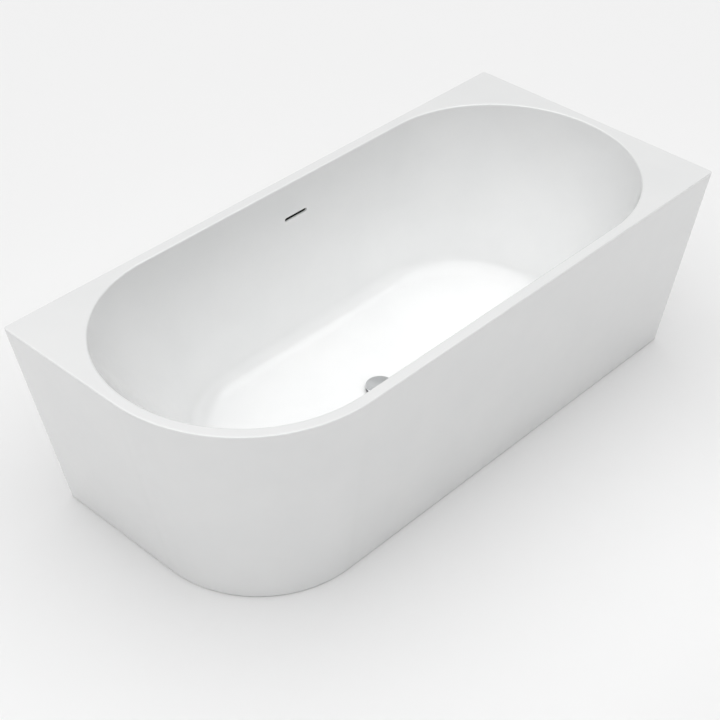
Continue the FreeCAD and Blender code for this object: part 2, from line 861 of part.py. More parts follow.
def make_frame():
    """Two rails under the board, three cross members under the rails, tabs, screws and caps."""
    caps = []
    for name, y in RAILS.items():
        low_y = f"{y} - tube / 2"
        rail = square_tube("-rail_left", low_y, RAIL_BOTTOM, "rail_left + rail_right", True)
        keep(f"frame_rail_{name}", rail)
        for x in ("-rail_left - end_cap", "rail_right"):
            caps.append(block("end_cap", "tube", "tube", x, low_y, RAIL_BOTTOM))
    for name, x in MEMBERS.items():
        low_x = f"{x} - tube / 2"
        member = square_tube(low_x, "-member_front", MEMBER_BOTTOM, "member_front + member_rear", False)
        holes = [rod("stud_hole", "tube", x=x, y=y, z=MEMBER_BOTTOM) for y in FOOT_ROWS.values()]
        keep(f"cross_member_{name}", cut(member, *holes))
        for y in ("-member_front - end_cap", "member_rear"):
            caps.append(block("tube", "end_cap", "tube", low_x, y, MEMBER_BOTTOM))
    keep("tube_end_caps", group(*caps))

    tabs, screws = [], []
    tab_bottom = f"{BOARD_BOTTOM} - tab_thickness"
    for x, y in tab_spots():
        corner = (f"{x} - tab_length / 2", f"{y} - tab_width / 2", tab_bottom)
        tab = block("tab_length", "tab_width", "tab_thickness", *corner)
        tabs.append(cut(tab, rod("tab_hole", "tab_thickness", x=x, y=y, z=tab_bottom)))
        head = rod("screw_head", "screw_head_height", x=x, y=y, z=f"{tab_bottom} - screw_head_height")
        shank = rod("screw_shank", "tab_thickness + screw_depth", x=x, y=y, z=tab_bottom)
        screws.append(join(head, shank))
    keep("fixing_tabs", group(*tabs))
    keep("board_screws", group(*screws))


def make_feet():
    """Six levelling feet: a threaded stud through each member's end, its nuts and its pad."""
    weld_nuts, lock_nuts = [], []
    places = [(x, y) for x in MEMBERS.values() for y in FOOT_ROWS.values()]
    for number, (x, y) in enumerate(places, start=1):
        for nuts, z in ((weld_nuts, RAIL_BOTTOM), (lock_nuts, f"{MEMBER_BOTTOM} - nut_height")):
            outside = hexagon("nut_flats", "nut_height", x, y, z)
            nuts.append(cut(outside, rod("nut_thread", "nut_height", x=x, y=y, z=z)))
        thread = rod("stud_radius", "stud_top - stud_bottom", x=x, y=y, z="stud_bottom")
        collar = hexagon("collar_flats", "hex_collar", x, y, "collar_bottom")
        keep(f"foot_stud_{number}", join(thread, collar))
        base = rod("pad_radius", "pad_base", x=x, y=y, z="0")
        neck = cone("pad_shoulder", "pad_neck", "pad_top - pad_base", x, y, "pad_base")
        socket = rod("pad_socket", "pad_top", x=x, y=y, z="pad_socket_floor")
        keep(f"foot_pad_{number}", cut(join(base, neck), socket))
    keep("weld_nuts", group(*weld_nuts))
    keep("lock_nuts", group(*lock_nuts))


# ---- check and export ---------------------------------------------------------------------


def check_document():
    """Stops if a feature failed or a sub-part's shape is missing or unsound."""
    failed = [thing.Name for thing in doc.Objects if {"Invalid", "Error"} & set(thing.State)]
    if failed:
        raise RuntimeError(f"features that failed: {failed}")
    for label, thing in nodes.items():
        shape = thing.Shape
        if shape.isNull() or not shape.isValid() or not shape.Solids:
            raise RuntimeError(f"{label} has no sound solid")


def export_nodes():
    os.makedirs("parts", exist_ok=True)
    for label, thing in nodes.items():
        box = thing.Shape.BoundBox
        thing.Shape.exportStep(f"parts/{label}.step")
        print(
            f"{label:20s} {len(thing.Shape.Solids)} solid(s) {thing.Shape.Volume / 1000:9.1f} cm3 "
            f"X {box.XMin:.1f}..{box.XMax:.1f} Y {box.YMin:.1f}..{box.YMax:.1f} "
            f"Z {box.ZMin:.1f}..{box.ZMax:.1f}"
        )


make_basin()
make_skirt()
make_corner_blocks()
make_drain()
make_waste()
make_trap()
make_overflow()
make_board()
make_frame()
make_feet()
doc.recompute()
check_document()
export_nodes()
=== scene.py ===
"""Looks of the corner bathtub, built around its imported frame.

Every length is in metres, in the frame's own axes: +X along the bath to its upright right end,
+Y to its upright back side and +Z up, with the origin on the floor under the middle of the rim.
"""

import json
import logging
import math
from dataclasses import dataclass, field
from enum import Enum
from typing import Sequence

import bmesh
import bpy
from mathutils import Matrix, Vector
from mathutils.geometry import intersect_point_line


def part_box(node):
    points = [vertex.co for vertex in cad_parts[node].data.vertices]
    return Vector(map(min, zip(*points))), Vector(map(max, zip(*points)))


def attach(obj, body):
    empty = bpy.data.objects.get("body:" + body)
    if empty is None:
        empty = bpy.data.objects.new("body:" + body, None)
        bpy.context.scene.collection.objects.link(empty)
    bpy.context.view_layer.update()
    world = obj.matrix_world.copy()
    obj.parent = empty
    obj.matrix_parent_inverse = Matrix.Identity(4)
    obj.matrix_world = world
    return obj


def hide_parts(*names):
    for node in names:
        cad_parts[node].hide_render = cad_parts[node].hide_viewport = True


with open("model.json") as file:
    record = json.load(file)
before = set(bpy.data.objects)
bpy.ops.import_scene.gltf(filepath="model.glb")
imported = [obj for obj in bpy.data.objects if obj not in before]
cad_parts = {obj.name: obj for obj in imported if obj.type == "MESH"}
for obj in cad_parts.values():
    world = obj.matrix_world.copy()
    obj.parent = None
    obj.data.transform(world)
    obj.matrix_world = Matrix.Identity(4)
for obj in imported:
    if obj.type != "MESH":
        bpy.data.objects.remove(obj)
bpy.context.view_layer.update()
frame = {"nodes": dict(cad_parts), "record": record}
log = logging.getLogger("bathtub")

Ring = list[Vector]
Colour = tuple[float, float, float]

# The radius of the small flat where a turned piece meets its axis.
POLE = 0.0002
# How far a cutter starts outside the face that it cuts.
CUT_SPARE = 0.001
# Edges that turn by more than this stay sharp in the shading.
CREASE = math.radians(35)
# Points closer together than this are one point.
SAME_POINT = 1e-6


# ---- shader groups ------------------------------------------------------------------------


class Tree:
    """A node tree with short calls to add, set and join its nodes."""

    def __init__(self, tree: bpy.types.NodeTree) -> None:
        """Wraps an empty or existing node tree.

        Args:
            tree: the tree to work in.
        """
        self.tree = tree

    def add(self, kind: str, **inputs: object) -> bpy.types.Node:
        """Adds a node.

        Args:
            kind: the node's type name.
            inputs: values for its input sockets, with spaces written as underscores, or
                attributes of the node where it has one of that name.

        Returns:
            The new node.
        """
        node = self.tree.nodes.new(kind)
        for name, given in inputs.items():
            if hasattr(node, name):
                setattr(node, name, given)
            else:
                node.inputs[name.replace("_", " ")].default_value = given
        return node

    def join(self, source: bpy.types.NodeSocket, target: bpy.types.NodeSocket) -> None:
        """Links an output socket to an input socket."""
        self.tree.links.new(source, target)

    def math(self, operation: str, first: object, second: object) -> bpy.types.NodeSocket:
        """Adds a Math node.

        Args:
            operation: the node's operation.
            first: a socket or a number.
            second: a socket or a number.

        Returns:
            The node's output socket.
        """
        node = self.add("ShaderNodeMath", operation=operation)
        for index, given in enumerate((first, second)):
            if isinstance(given, bpy.types.NodeSocket):
                self.join(given, node.inputs[index])
            else:
                node.inputs[index].default_value = given
        return node.outputs[0]

    def spread(self, source: bpy.types.NodeSocket, low: float, high: float) -> bpy.types.NodeSocket:
        """Maps a mask from 0..1 to low..high.

        Args:
            source: the mask.
            low: the result where the mask is 0.
            high: the result where the mask is 1.

        Returns:
            The mapped value's socket.
        """
        node = self.add("ShaderNodeMapRange", To_Min=low, To_Max=high)
        self.join(source, node.inputs["Value"])
        return node.outputs["Result"]

    def blend(self, mask: bpy.types.NodeSocket, dark: Colour, light: Colour) -> bpy.types.NodeSocket:
        """Mixes two colours by a mask.

        Args:
            mask: 0 for the first colour, 1 for the second.
            dark: the first colour.
            light: the second colour.

        Returns:
            The mixed colour's socket.
        """
        node = self.add("ShaderNodeMix", data_type="RGBA")
        node.inputs[6].default_value = (*dark, 1)
        node.inputs[7].default_value = (*light, 1)
        self.join(mask, node.inputs[0])
        return node.outputs[2]


class Effect(Enum):
    """The shader effects that several finishes share."""

    MOTTLE = "mottle"
    ORANGE_PEEL = "orange_peel"
    FIBRES = "fibres"


def group_tree(effect: Effect, numbers: Sequence[str], outputs: Sequence[str]) -> Tree:
    """Starts a shader group with number inputs and value outputs.

    Args:
        effect: what the group is for; it gives the group's name.
        numbers: the names of its inputs.
        outputs: the names of its outputs.

    Returns:
        The group's tree.
    """
    group = bpy.data.node_groups.new(effect.value, "ShaderNodeTree")
    for name in numbers:
        group.interface.new_socket(name, in_out="INPUT", socket_type="NodeSocketFloat")
    for name in outputs:
        group.interface.new_socket(name, in_out="OUTPUT", socket_type="NodeSocketFloat")
    return Tree(group)


def mottle_group() -> None:
    """Builds soft blotches at two scales, for colour and roughness that wander a little."""
    pad = group_tree(Effect.MOTTLE, ["Broad Scale", "Fine Scale"], ["Broad", "Fine"])
    inside = pad.add("NodeGroupInput")
    outside = pad.add("NodeGroupOutput")
    place = pad.add("ShaderNodeTexCoord")
    for index, name in enumerate(("Broad", "Fine")):
        noise = pad.add("ShaderNodeTexNoise", Detail=3.0, Roughness=0.55)
        pad.join(place.outputs["Object"], noise.inputs["Vector"])
        pad.join(inside.outputs[f"{name} Scale"], noise.inputs["Scale"])
        sharper = pad.add("ShaderNodeMapRange", From_Min=0.3, From_Max=0.7)
        pad.join(noise.outputs["Fac"], sharper.inputs["Value"])
        pad.join(sharper.outputs["Result"], outside.inputs[index])


def orange_peel_group() -> None:
    """Builds the slow waves and fine dimples of a moulded or sprayed surface."""
    pad = group_tree(Effect.ORANGE_PEEL, ["Wave Scale", "Dimple Scale", "Dimple Share"], ["Height"])
    inside = pad.add("NodeGroupInput")
    outside = pad.add("NodeGroupOutput")
    place = pad.add("ShaderNodeTexCoord")
    heights = []
    for name in ("Wave Scale", "Dimple Scale"):
        noise = pad.add("ShaderNodeTexNoise", Detail=1.5)
        pad.join(place.outputs["Object"], noise.inputs["Vector"])
        pad.join(inside.outputs[name], noise.inputs["Scale"])
        heights.append(noise.outputs["Fac"])
    dimples = pad.math("MULTIPLY", heights[1], inside.outputs["Dimple Share"])
    pad.join(pad.math("ADD", heights[0], dimples), outside.inputs["Height"])


def fibres_group() -> None:
    """Builds long thin streaks along X, as in wood grain and brushed metal."""
    pad = group_tree(Effect.FIBRES, ["Scale", "Stretch"], ["Streak"])
    inside = pad.add("NodeGroupInput")
    outside = pad.add("NodeGroupOutput")
    place = pad.add("ShaderNodeTexCoord")
    axes = pad.add("ShaderNodeCombineXYZ", Y=1.0, Z=1.0)
    pad.join(inside.outputs["Stretch"], axes.inputs["X"])
    squeezed = pad.add("ShaderNodeVectorMath", operation="MULTIPLY")
    pad.join(place.outputs["Object"], squeezed.inputs[0])
    pad.join(axes.outputs["Vector"], squeezed.inputs[1])
    noise = pad.add("ShaderNodeTexNoise", Detail=5.0, Roughness=0.6)
    pad.join(squeezed.outputs["Vector"], noise.inputs["Vector"])
    pad.join(inside.outputs["Scale"], noise.inputs["Scale"])
    sharper = pad.add("ShaderNodeMapRange", From_Min=0.32, From_Max=0.68)
    pad.join(noise.outputs["Fac"], sharper.inputs["Value"])
    pad.join(sharper.outputs["Result"], outside.inputs["Streak"])


# ---- finishes -----------------------------------------------------------------------------


class Slot(Enum):
    """The record's material slots."""

    ACRYLIC = "acrylic"
    PLYWOOD = "plywood"
    FRAME_STEEL = "frame_steel"
    ZINC_STEEL = "zinc_steel"
    CHROME = "chrome"
    BRASS = "brass"
    RUBBER = "rubber"
    WHITE_PIPE = "white_pipe"
    GREY_HOSE = "grey_hose"
    BLACK_PLASTIC = "black_plastic"


@dataclass(frozen=True)
class Finish:
    """A finish with two close colours, a roughness range and a fine relief.

    Attributes:
        slot: the record's slot that it dresses.
        dark: the darker of its two colours.
        light: the lighter of its two colours.
        smooth: the lowest roughness.
        rough: the highest roughness.
        metallic: 1 for bare metal.
        coat: the weight of a clear gloss over it.
        broad: blotches per metre in the colour.
        fine: blotches per metre in the roughness.
        dimples: dimples per metre in the relief.
        relief: the depth of the relief, in metres.
        grain: streaks per metre across the grain, or 0 for none.
        grain_share: how much of the colour's change the streaks make.
        grain_stretch: the streaks' scale along the grain, as a share of that across it.
        waves: slow waves per metre in the relief.
        ply: the height of two plywood layers, or 0 for none.
        ply_dark: the tone of the dark layers, where the light ones have 1.
        coat_rough: the roughness of the clear gloss.
        dimple_share: the height of a dimple, as a share of a wave's.
        bump: the strength of the relief.
    """

    slot: Slot
    dark: Colour
    light: Colour
    smooth: float
    rough: float
    metallic: float = 0.0
    coat: float = 0.0
    broad: float = 6.0
    fine: float = 60.0
    dimples: float = 900.0
    relief: float = 0.00002
    grain: float = 0.0
    grain_share: float = 0.65
    grain_stretch: float = 0.06
    waves: float = 7.0
    ply: float = 0.0
    ply_dark: float = 0.75
    coat_rough: float = 0.12
    dimple_share: float = 0.08
    bump: float = 0.5

    def build(self) -> bpy.types.Material:
        """Makes the material.

        Returns:
            The material, named after its slot.
        """
        material = bpy.data.materials.new(self.slot.value)
        material.use_nodes = True
        material.node_tree.nodes.clear()
        pad = Tree(material.node_tree)
        output = pad.add("ShaderNodeOutputMaterial")
        shader = pad.add("ShaderNodeBsdfPrincipled", Coat_Weight=self.coat, Coat_Roughness=self.coat_rough)
        shader.inputs["Metallic"].default_value = self.metallic
        pad.join(shader.outputs["BSDF"], output.inputs["Surface"])

        mottle = pad.add("ShaderNodeGroup", node_tree=bpy.data.node_groups[Effect.MOTTLE.value])
        mottle.inputs["Broad Scale"].default_value = self.broad
        mottle.inputs["Fine Scale"].default_value = self.fine
        tone = mottle.outputs["Broad"]
        if self.grain:
            fibres = pad.add("ShaderNodeGroup", node_tree=bpy.data.node_groups[Effect.FIBRES.value])
            fibres.inputs["Scale"].default_value = self.grain
            fibres.inputs["Stretch"].default_value = self.grain_stretch
            streaks = pad.math("MULTIPLY", fibres.outputs["Streak"], self.grain_share)
            tone = pad.math("ADD", pad.math("MULTIPLY", tone, 1.0 - self.grain_share), streaks)
        if self.ply:
            tone = pad.math("MULTIPLY", tone, self.ply_mask(pad))
        pad.join(pad.blend(tone, self.dark, self.light), shader.inputs["Base Color"])
        pad.join(pad.spread(mottle.outputs["Fine"], self.smooth, self.rough), shader.inputs["Roughness"])

        peel = pad.add("ShaderNodeGroup", node_tree=bpy.data.node_groups[Effect.ORANGE_PEEL.value])
        peel.inputs["Wave Scale"].default_value = self.waves
        peel.inputs["Dimple Scale"].default_value = self.dimples
        peel.inputs["Dimple Share"].default_value = self.dimple_share
        bump = pad.add("ShaderNodeBump", Strength=self.bump, Distance=self.relief)
        pad.join(peel.outputs["Height"], bump.inputs["Height"])
        pad.join(bump.outputs["Normal"], shader.inputs["Normal"])
        return material

    def ply_mask(self, pad: Tree) -> bpy.types.NodeSocket:
        """Adds the light and dark layers that show on the edges of plywood.

        Args:
            pad: the material's tree.

        Returns:
            The mask's socket, lowest in the dark layers.
        """
        place = pad.add("ShaderNodeTexCoord")
        axes = pad.add("ShaderNodeSeparateXYZ")
        pad.join(place.outputs["Object"], axes.inputs["Vector"])
        wave = pad.math("SINE", pad.math("MULTIPLY", axes.outputs["Z"], math.tau / self.ply), 0.0)
        return pad.spread(wave, self.ply_dark, 1.0)


FINISHES = (
    Finish(Slot.ACRYLIC, (0.902, 0.908, 0.908), (0.926, 0.930, 0.928), 0.16, 0.22, coat=0.35, relief=0.0004,
           waves=2.5),
    Finish(Slot.PLYWOOD, (0.47, 0.31, 0.16), (0.70, 0.53, 0.33), 0.55, 0.75, grain=60.0, relief=0.0003,
           ply=0.0045),
    Finish(Slot.FRAME_STEEL, (0.40, 0.41, 0.42), (0.48, 0.49, 0.50), 0.32, 0.48, relief=0.0001),
    Finish(Slot.ZINC_STEEL, (0.55, 0.56, 0.55), (0.74, 0.74, 0.70), 0.24, 0.42, metallic=1.0, fine=240.0),
    Finish(Slot.CHROME, (0.70, 0.71, 0.72), (0.78, 0.79, 0.80), 0.05, 0.10, metallic=1.0, relief=0.00001),
    Finish(Slot.BRASS, (0.60, 0.42, 0.18), (0.76, 0.58, 0.30), 0.20, 0.36, metallic=1.0, fine=200.0),
    Finish(Slot.RUBBER, (0.018, 0.018, 0.018), (0.035, 0.035, 0.035), 0.55, 0.75),
    Finish(Slot.WHITE_PIPE, (0.70, 0.70, 0.68), (0.78, 0.78, 0.76), 0.30, 0.42, relief=0.0001),
    Finish(Slot.GREY_HOSE, (0.22, 0.23, 0.24), (0.32, 0.33, 0.34), 0.38, 0.52, relief=0.0001),
    Finish(Slot.BLACK_PLASTIC, (0.012, 0.012, 0.013), (0.028, 0.028, 0.030), 0.40, 0.58, relief=0.0001),
)


class Wardrobe:
    """All the finishes, made once, and the ways to put them on."""

    def __init__(self) -> None:
        """Builds the shader groups and then each finish."""
        mottle_group()
        orange_peel_group()
        fibres_group()
        self.materials = {finish.slot: finish.build() for finish in FINISHES}

    def dress(self, piece: bpy.types.Object, slot: Slot) -> bpy.types.Object:
        """Gives a mesh object one finish all over.

        Args:
            piece: the object.
            slot: the finish.

        Returns:
            The same object.
        """
        piece.data.materials.clear()
        piece.data.materials.append(self.materials[slot])
        return piece

    def dress_frame(self) -> None:
        """Gives every node of the frame the finish that its record names."""
        for row in frame["record"]["subparts"]:
            node = frame["nodes"][row["node"]]
            self.dress(node, Slot(row["material_slot"]))


# ---- mesh tools ---------------------------------------------------------------------------


def middle(node: str) -> Vector:
    """The centre of a frame node's box."""
    low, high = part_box(node)
    return (low + high) / 2


def blank(name: str, vertices: Sequence[Vector], faces: Sequence[Sequence[int]]) -> bpy.types.Object:
    """Makes a smooth-shaded mesh object whose creases over 35 degrees stay sharp.

    Args:
        name: the object's name.
        vertices: the points, in the frame's own coordinates.
        faces: the corners of each face.

    Returns:
        The object, linked to the scene.
    """
    mesh = bpy.data.meshes.new(name)
    mesh.from_pydata([tuple(v) for v in vertices], [], faces)
    work = bmesh.new()
    work.from_mesh(mesh)
    bmesh.ops.remove_doubles(work, verts=work.verts, dist=SAME_POINT)
    bmesh.ops.recalc_face_normals(work, faces=work.faces)
    work.to_mesh(mesh)
    work.free()
    mesh.polygons.foreach_set("use_smooth", [True] * len(mesh.polygons))
    mesh.set_sharp_from_angle(angle=CREASE)
    piece = bpy.data.objects.new(name, mesh)
    bpy.context.scene.collection.objects.link(piece)
    return piece


def skin(name: str, rings: Sequence[Ring], closed: bool = True) -> bpy.types.Object:
    """Makes a mesh through rings of equally many points.

    Args:
        name: the object's name.
        rings: closed loops of points, in order.
        closed: whether the last ring joins the first; if not, both ends get a cap.

    Returns:
        The object.
    """
    count = len(rings[0])
    vertices = [point for ring in rings for point in ring]
    faces: list[list[int]] = []
    for level in range(len(rings) if closed else len(rings) - 1):
        here, there = level * count, (level + 1) % len(rings) * count
        for index in range(count):
            after = (index + 1) % count
            faces.append([here + index, here + after, there + after, there + index])
    if not closed:
        faces.append(list(range(count)))
        faces.append(list(range((len(rings) - 1) * count, len(rings) * count)))
    return blank(name, vertices, faces)


def lathe(
    name: str,
    profile: Sequence[tuple[float, float]],
    centre: Vector,
    axis: str = "Z",
    segments: int = 72,
    closed: bool = True,
) -> bpy.types.Object:
    """Turns a profile round an axis.

    Args:
        name: the object's name.
        profile: radius and distance along the axis of each point, from the centre.
        centre: the point that the distances are measured from.
        axis: X, Y or Z.
        segments: the number of steps round the axis.
        closed: whether the profile's last point joins its first, as on a ring.

    Returns:
        The object.
    """
    turn = {
        "Z": Matrix.Identity(3),
        "X": Matrix(((0, 0, 1), (1, 0, 0), (0, 1, 0))),
        "Y": Matrix(((0, 1, 0), (0, 0, 1), (1, 0, 0))),
    }[axis]
    rings = []
    for radius, along in profile:
        ring = []
        for step in range(segments):
            angle = math.tau * step / segments
            ring.append(centre + turn @ Vector((radius * math.cos(angle), radius * math.sin(angle), along)))
        rings.append(ring)
    return skin(name, rings, closed)


def settle(piece: bpy.types.Object) -> bpy.types.Object:
    """Bakes an object's modifiers into its mesh.

    Args:
        piece: the object.

    Returns:
        The same object, with a plain mesh.
    """
    bpy.context.view_layer.update()
    seen = piece.evaluated_get(bpy.context.evaluated_depsgraph_get())
    baked = bpy.data.meshes.new_from_object(seen)
    piece.modifiers.clear()
    piece.data = baked
    return piece


def carve(piece: bpy.types.Object, *cutters: bpy.types.Object) -> bpy.types.Object:
    """Cuts other solids out of a piece, and removes them.

    Args:
        piece: the solid to cut.
        cutters: the solids to take away.

    Returns:
        The cut piece.
    """
    for cutter in cutters:
        modifier = piece.modifiers.new("cut", "BOOLEAN")
        modifier.operation = "DIFFERENCE"
        modifier.solver = "EXACT"
        modifier.object = cutter
    settle(piece)
    for cutter in cutters:
        bpy.data.objects.remove(cutter)
    piece.data.set_sharp_from_angle(angle=CREASE)
    return piece


def even_normals(piece: bpy.types.Object) -> bpy.types.Object:
    """Lets the large faces set the shading at rounded edges.

    Args:
        piece: the object.

    Returns:
        The same object.
    """
    modifier = piece.modifiers.new("even_normals", "WEIGHTED_NORMAL")
    modifier.keep_sharp = True
    modifier.weight = 60
    return settle(piece)


def fillet(start: Vector, corner: Vector, end: Vector, steps: int) -> Ring:
    """A round bend that touches both sides of a corner.

    Args:
        start: where the bend leaves the first side.
        corner: where the two sides would meet.
        end: where the bend reaches the second side, as far from the corner as start is.
        steps: the number of pieces.

    Returns:
        The bend's points, both ends included.
    """
    turn = (corner - start).angle(end - corner)
    weight = math.cos(turn / 2)
    points = []
    for step in range(steps + 1):
        t = step / steps
        a, b, c = (1 - t) ** 2, 2 * t * (1 - t) * weight, t**2
        points.append((start * a + corner * b + end * c) / (a + b + c))
    return points


# ---- outlines -----------------------------------------------------------------------------


@dataclass(frozen=True)
class Plan:
    """A rectangle with round corners, seen from above.

    Attributes:
        west, east, south, north: its sides.
        radii: the corners' radii: south-east, north-east, north-west, south-west.
    """

    west: float
    east: float
    south: float
    north: float
    radii: tuple[float, float, float, float]

    def inset(self, gap: float) -> "Plan":
        """The same outline moved inwards.

        Args:
            gap: how far inwards.

        Returns:
            The smaller outline.
        """
        radii = tuple(max(radius - gap, 1e-5) for radius in self.radii)
        return Plan(self.west + gap, self.east - gap, self.south + gap, self.north - gap, radii)

    def toward(self, other: "Plan", share: float) -> "Plan":
        """The outline part of the way to another.

        Args:
            other: the far outline.
            share: 0 for this one, 1 for the other.

        Returns:
            The outline between them.
        """

        def mix(near: float, far: float) -> float:
            """The value part of the way between two."""
            return near + (far - near) * share

        return Plan(
            mix(self.west, other.west),
            mix(self.east, other.east),
            mix(self.south, other.south),
            mix(self.north, other.north),
            tuple(mix(near, far) for near, far in zip(self.radii, other.radii)),
        )

    def corners(self) -> list[tuple[Vector, float, float]]:
        """The corners, anticlockwise from south-east.

        Returns:
            Each corner's centre, radius and first angle in degrees.
        """
        places = (
            (self.east, self.south),
            (self.east, self.north),
            (self.west, self.north),
            (self.west, self.south),
        )
        steps = ((-1, 1), (-1, -1), (1, -1), (1, 1))
        rows = []
        for index, ((x, y), (sx, sy)) in enumerate(zip(places, steps)):
            radius = self.radii[index]
            rows.append((Vector((x + sx * radius, y + sy * radius)), radius, 90.0 * index - 90.0))
        return rows

    def loop(self, arc_steps: Sequence[int], side_steps: Sequence[int]) -> list[Vector]:
        """The outline as points.

        Args:
            arc_steps: the pieces in each corner.
            side_steps: the pieces in the side that follows each corner.

        Returns:
            Points on the outline, anticlockwise.
        """
        points: list[Vector] = []
        rows = self.corners()
        for index, (centre, radius, first) in enumerate(rows):
            for step in range(arc_steps[index]):
                angle = math.radians(first + 90.0 * step / arc_steps[index])
                points.append(centre + radius * Vector((math.cos(angle), math.sin(angle))))
            after, after_radius, _ = rows[(index + 1) % 4]
            end_angle = math.radians(first + 90.0)
            leave = centre + radius * Vector((math.cos(end_angle), math.sin(end_angle)))
            arrive = after + after_radius * Vector((math.cos(end_angle), math.sin(end_angle)))
            for step in range(side_steps[index]):
                points.append(leave.lerp(arrive, step / side_steps[index]))
        return points

    def reach(self, origin: Vector, direction: Vector) -> Vector:
        """Where a ray from inside meets the outline.

        Args:
            origin: the ray's start.
            direction: the ray's direction, of length 1.

        Returns:
            The point on the outline.
        """
        far = 1e9
        for limit, axis in ((self.east, 0), (self.west, 0), (self.north, 1), (self.south, 1)):
            if abs(direction[axis]) > 1e-9:
                distance = (limit - origin[axis]) / direction[axis]
                if distance > 0:
                    far = min(far, distance)
        hit = origin + direction * far
        for centre, radius, first in self.corners():
            facing = Vector((math.cos(math.radians(first + 45)), math.sin(math.radians(first + 45))))
            beyond = hit - centre
            if beyond.x * facing.x > 0 and beyond.y * facing.y > 0:
                offset = origin - centre
                along = offset.dot(direction)
                depth = along**2 - offset.length_squared + radius**2
                if depth >= 0:
                    return origin + direction * (-along + math.sqrt(depth))
        return hit


class Side(Enum):
    """The four stretches of the basin's outline, anticlockwise from the right end."""

    RIGHT_END = 0
    BACK = 1
    LEFT_END = 2
    FRONT = 3


@dataclass(frozen=True)
class Oval:
    """Two straight sides joined by half ellipses.

    Attributes:
        left, right: the ends.
        front, back: the straight sides.
        left_reach, right_reach: how far each half ellipse stands out from its centre.
    """

    left: float
    right: float
    front: float
    back: float
    left_reach: float
    right_reach: float

    def grown(self, gap: float) -> "Oval":
        """The same outline moved outwards.

        Args:
            gap: how far outwards.

        Returns:
            The larger outline.
        """
        return Oval(
            self.left - gap,
            self.right + gap,
            self.front - gap,
            self.back + gap,
            self.left_reach + gap,
            self.right_reach + gap,
        )

    def centre(self, side: Side) -> Vector:
        """The centre of an end's half ellipse."""
        x = self.right - self.right_reach if side is Side.RIGHT_END else self.left + self.left_reach
        return Vector((x, (self.front + self.back) / 2))

    def point(self, side: Side, share: float) -> Vector:
        """A point on the outline.

        Args:
            side: the stretch.
            share: 0 at the stretch's start, 1 at its end, anticlockwise.

        Returns:
            The point.
        """
        half = (self.back - self.front) / 2
        if side in (Side.RIGHT_END, Side.LEFT_END):
            reach = self.right_reach if side is Side.RIGHT_END else self.left_reach
            start = -90.0 if side is Side.RIGHT_END else 90.0
            angle = math.radians(start + 180.0 * share)
            return self.centre(side) + Vector((reach * math.cos(angle), half * math.sin(angle)))
        ends = [self.centre(Side.RIGHT_END).x, self.centre(Side.LEFT_END).x]
        if side is Side.BACK:
            return Vector((ends[0] + (ends[1] - ends[0]) * share, self.back))
        return Vector((ends[1] + (ends[0] - ends[1]) * share, self.front))


# ---- basin --------------------------------------------------------------------------------


def lifted(point: Vector, height: float) -> Vector:
    """The point of a plan at a height."""
    return Vector((point.x, point.y, height))


@dataclass
class Shell:
    """The sizes that the basin and the skirt share.

    Attributes:
        small_corner: the radius of the three tight corners.
        front_corner: the radius of the round corner at the rim.
        base_corner: the radius of the round corner at the base.
        left_lean: how far the left end leans in at the base.
        front_lean: how far the front leans in at the base.
        wall: the thickness of the acrylic.
        low, high: the skirt's lowest corner and the basin's highest.
    """

    small_corner: float = 0.010
    front_corner: float = 0.390
    base_corner: float = 0.300
    left_lean: float = 0.122
    front_lean: float = 0.092
    wall: float = 0.005
    low: Vector = field(default_factory=lambda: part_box("skirt")[0])
    high: Vector = field(default_factory=lambda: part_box("basin")[1])

    def plan(self, height: float) -> Plan:
        """The outer outline at a height, between the rim and the base.

        Args:
            height: the height over the floor.

        Returns:
            The outline.
        """
        tight = (self.small_corner,) * 3
        rim = Plan(-self.high.x, self.high.x, -self.high.y, self.high.y, (*tight, self.front_corner))
        base = Plan(
            -self.high.x + self.left_lean,
            self.high.x,
            -self.high.y + self.front_lean,
            self.high.y,
            (*tight, self.base_corner),
        )
        return rim.toward(base, (self.high.z - height) / (self.high.z - self.low.z))


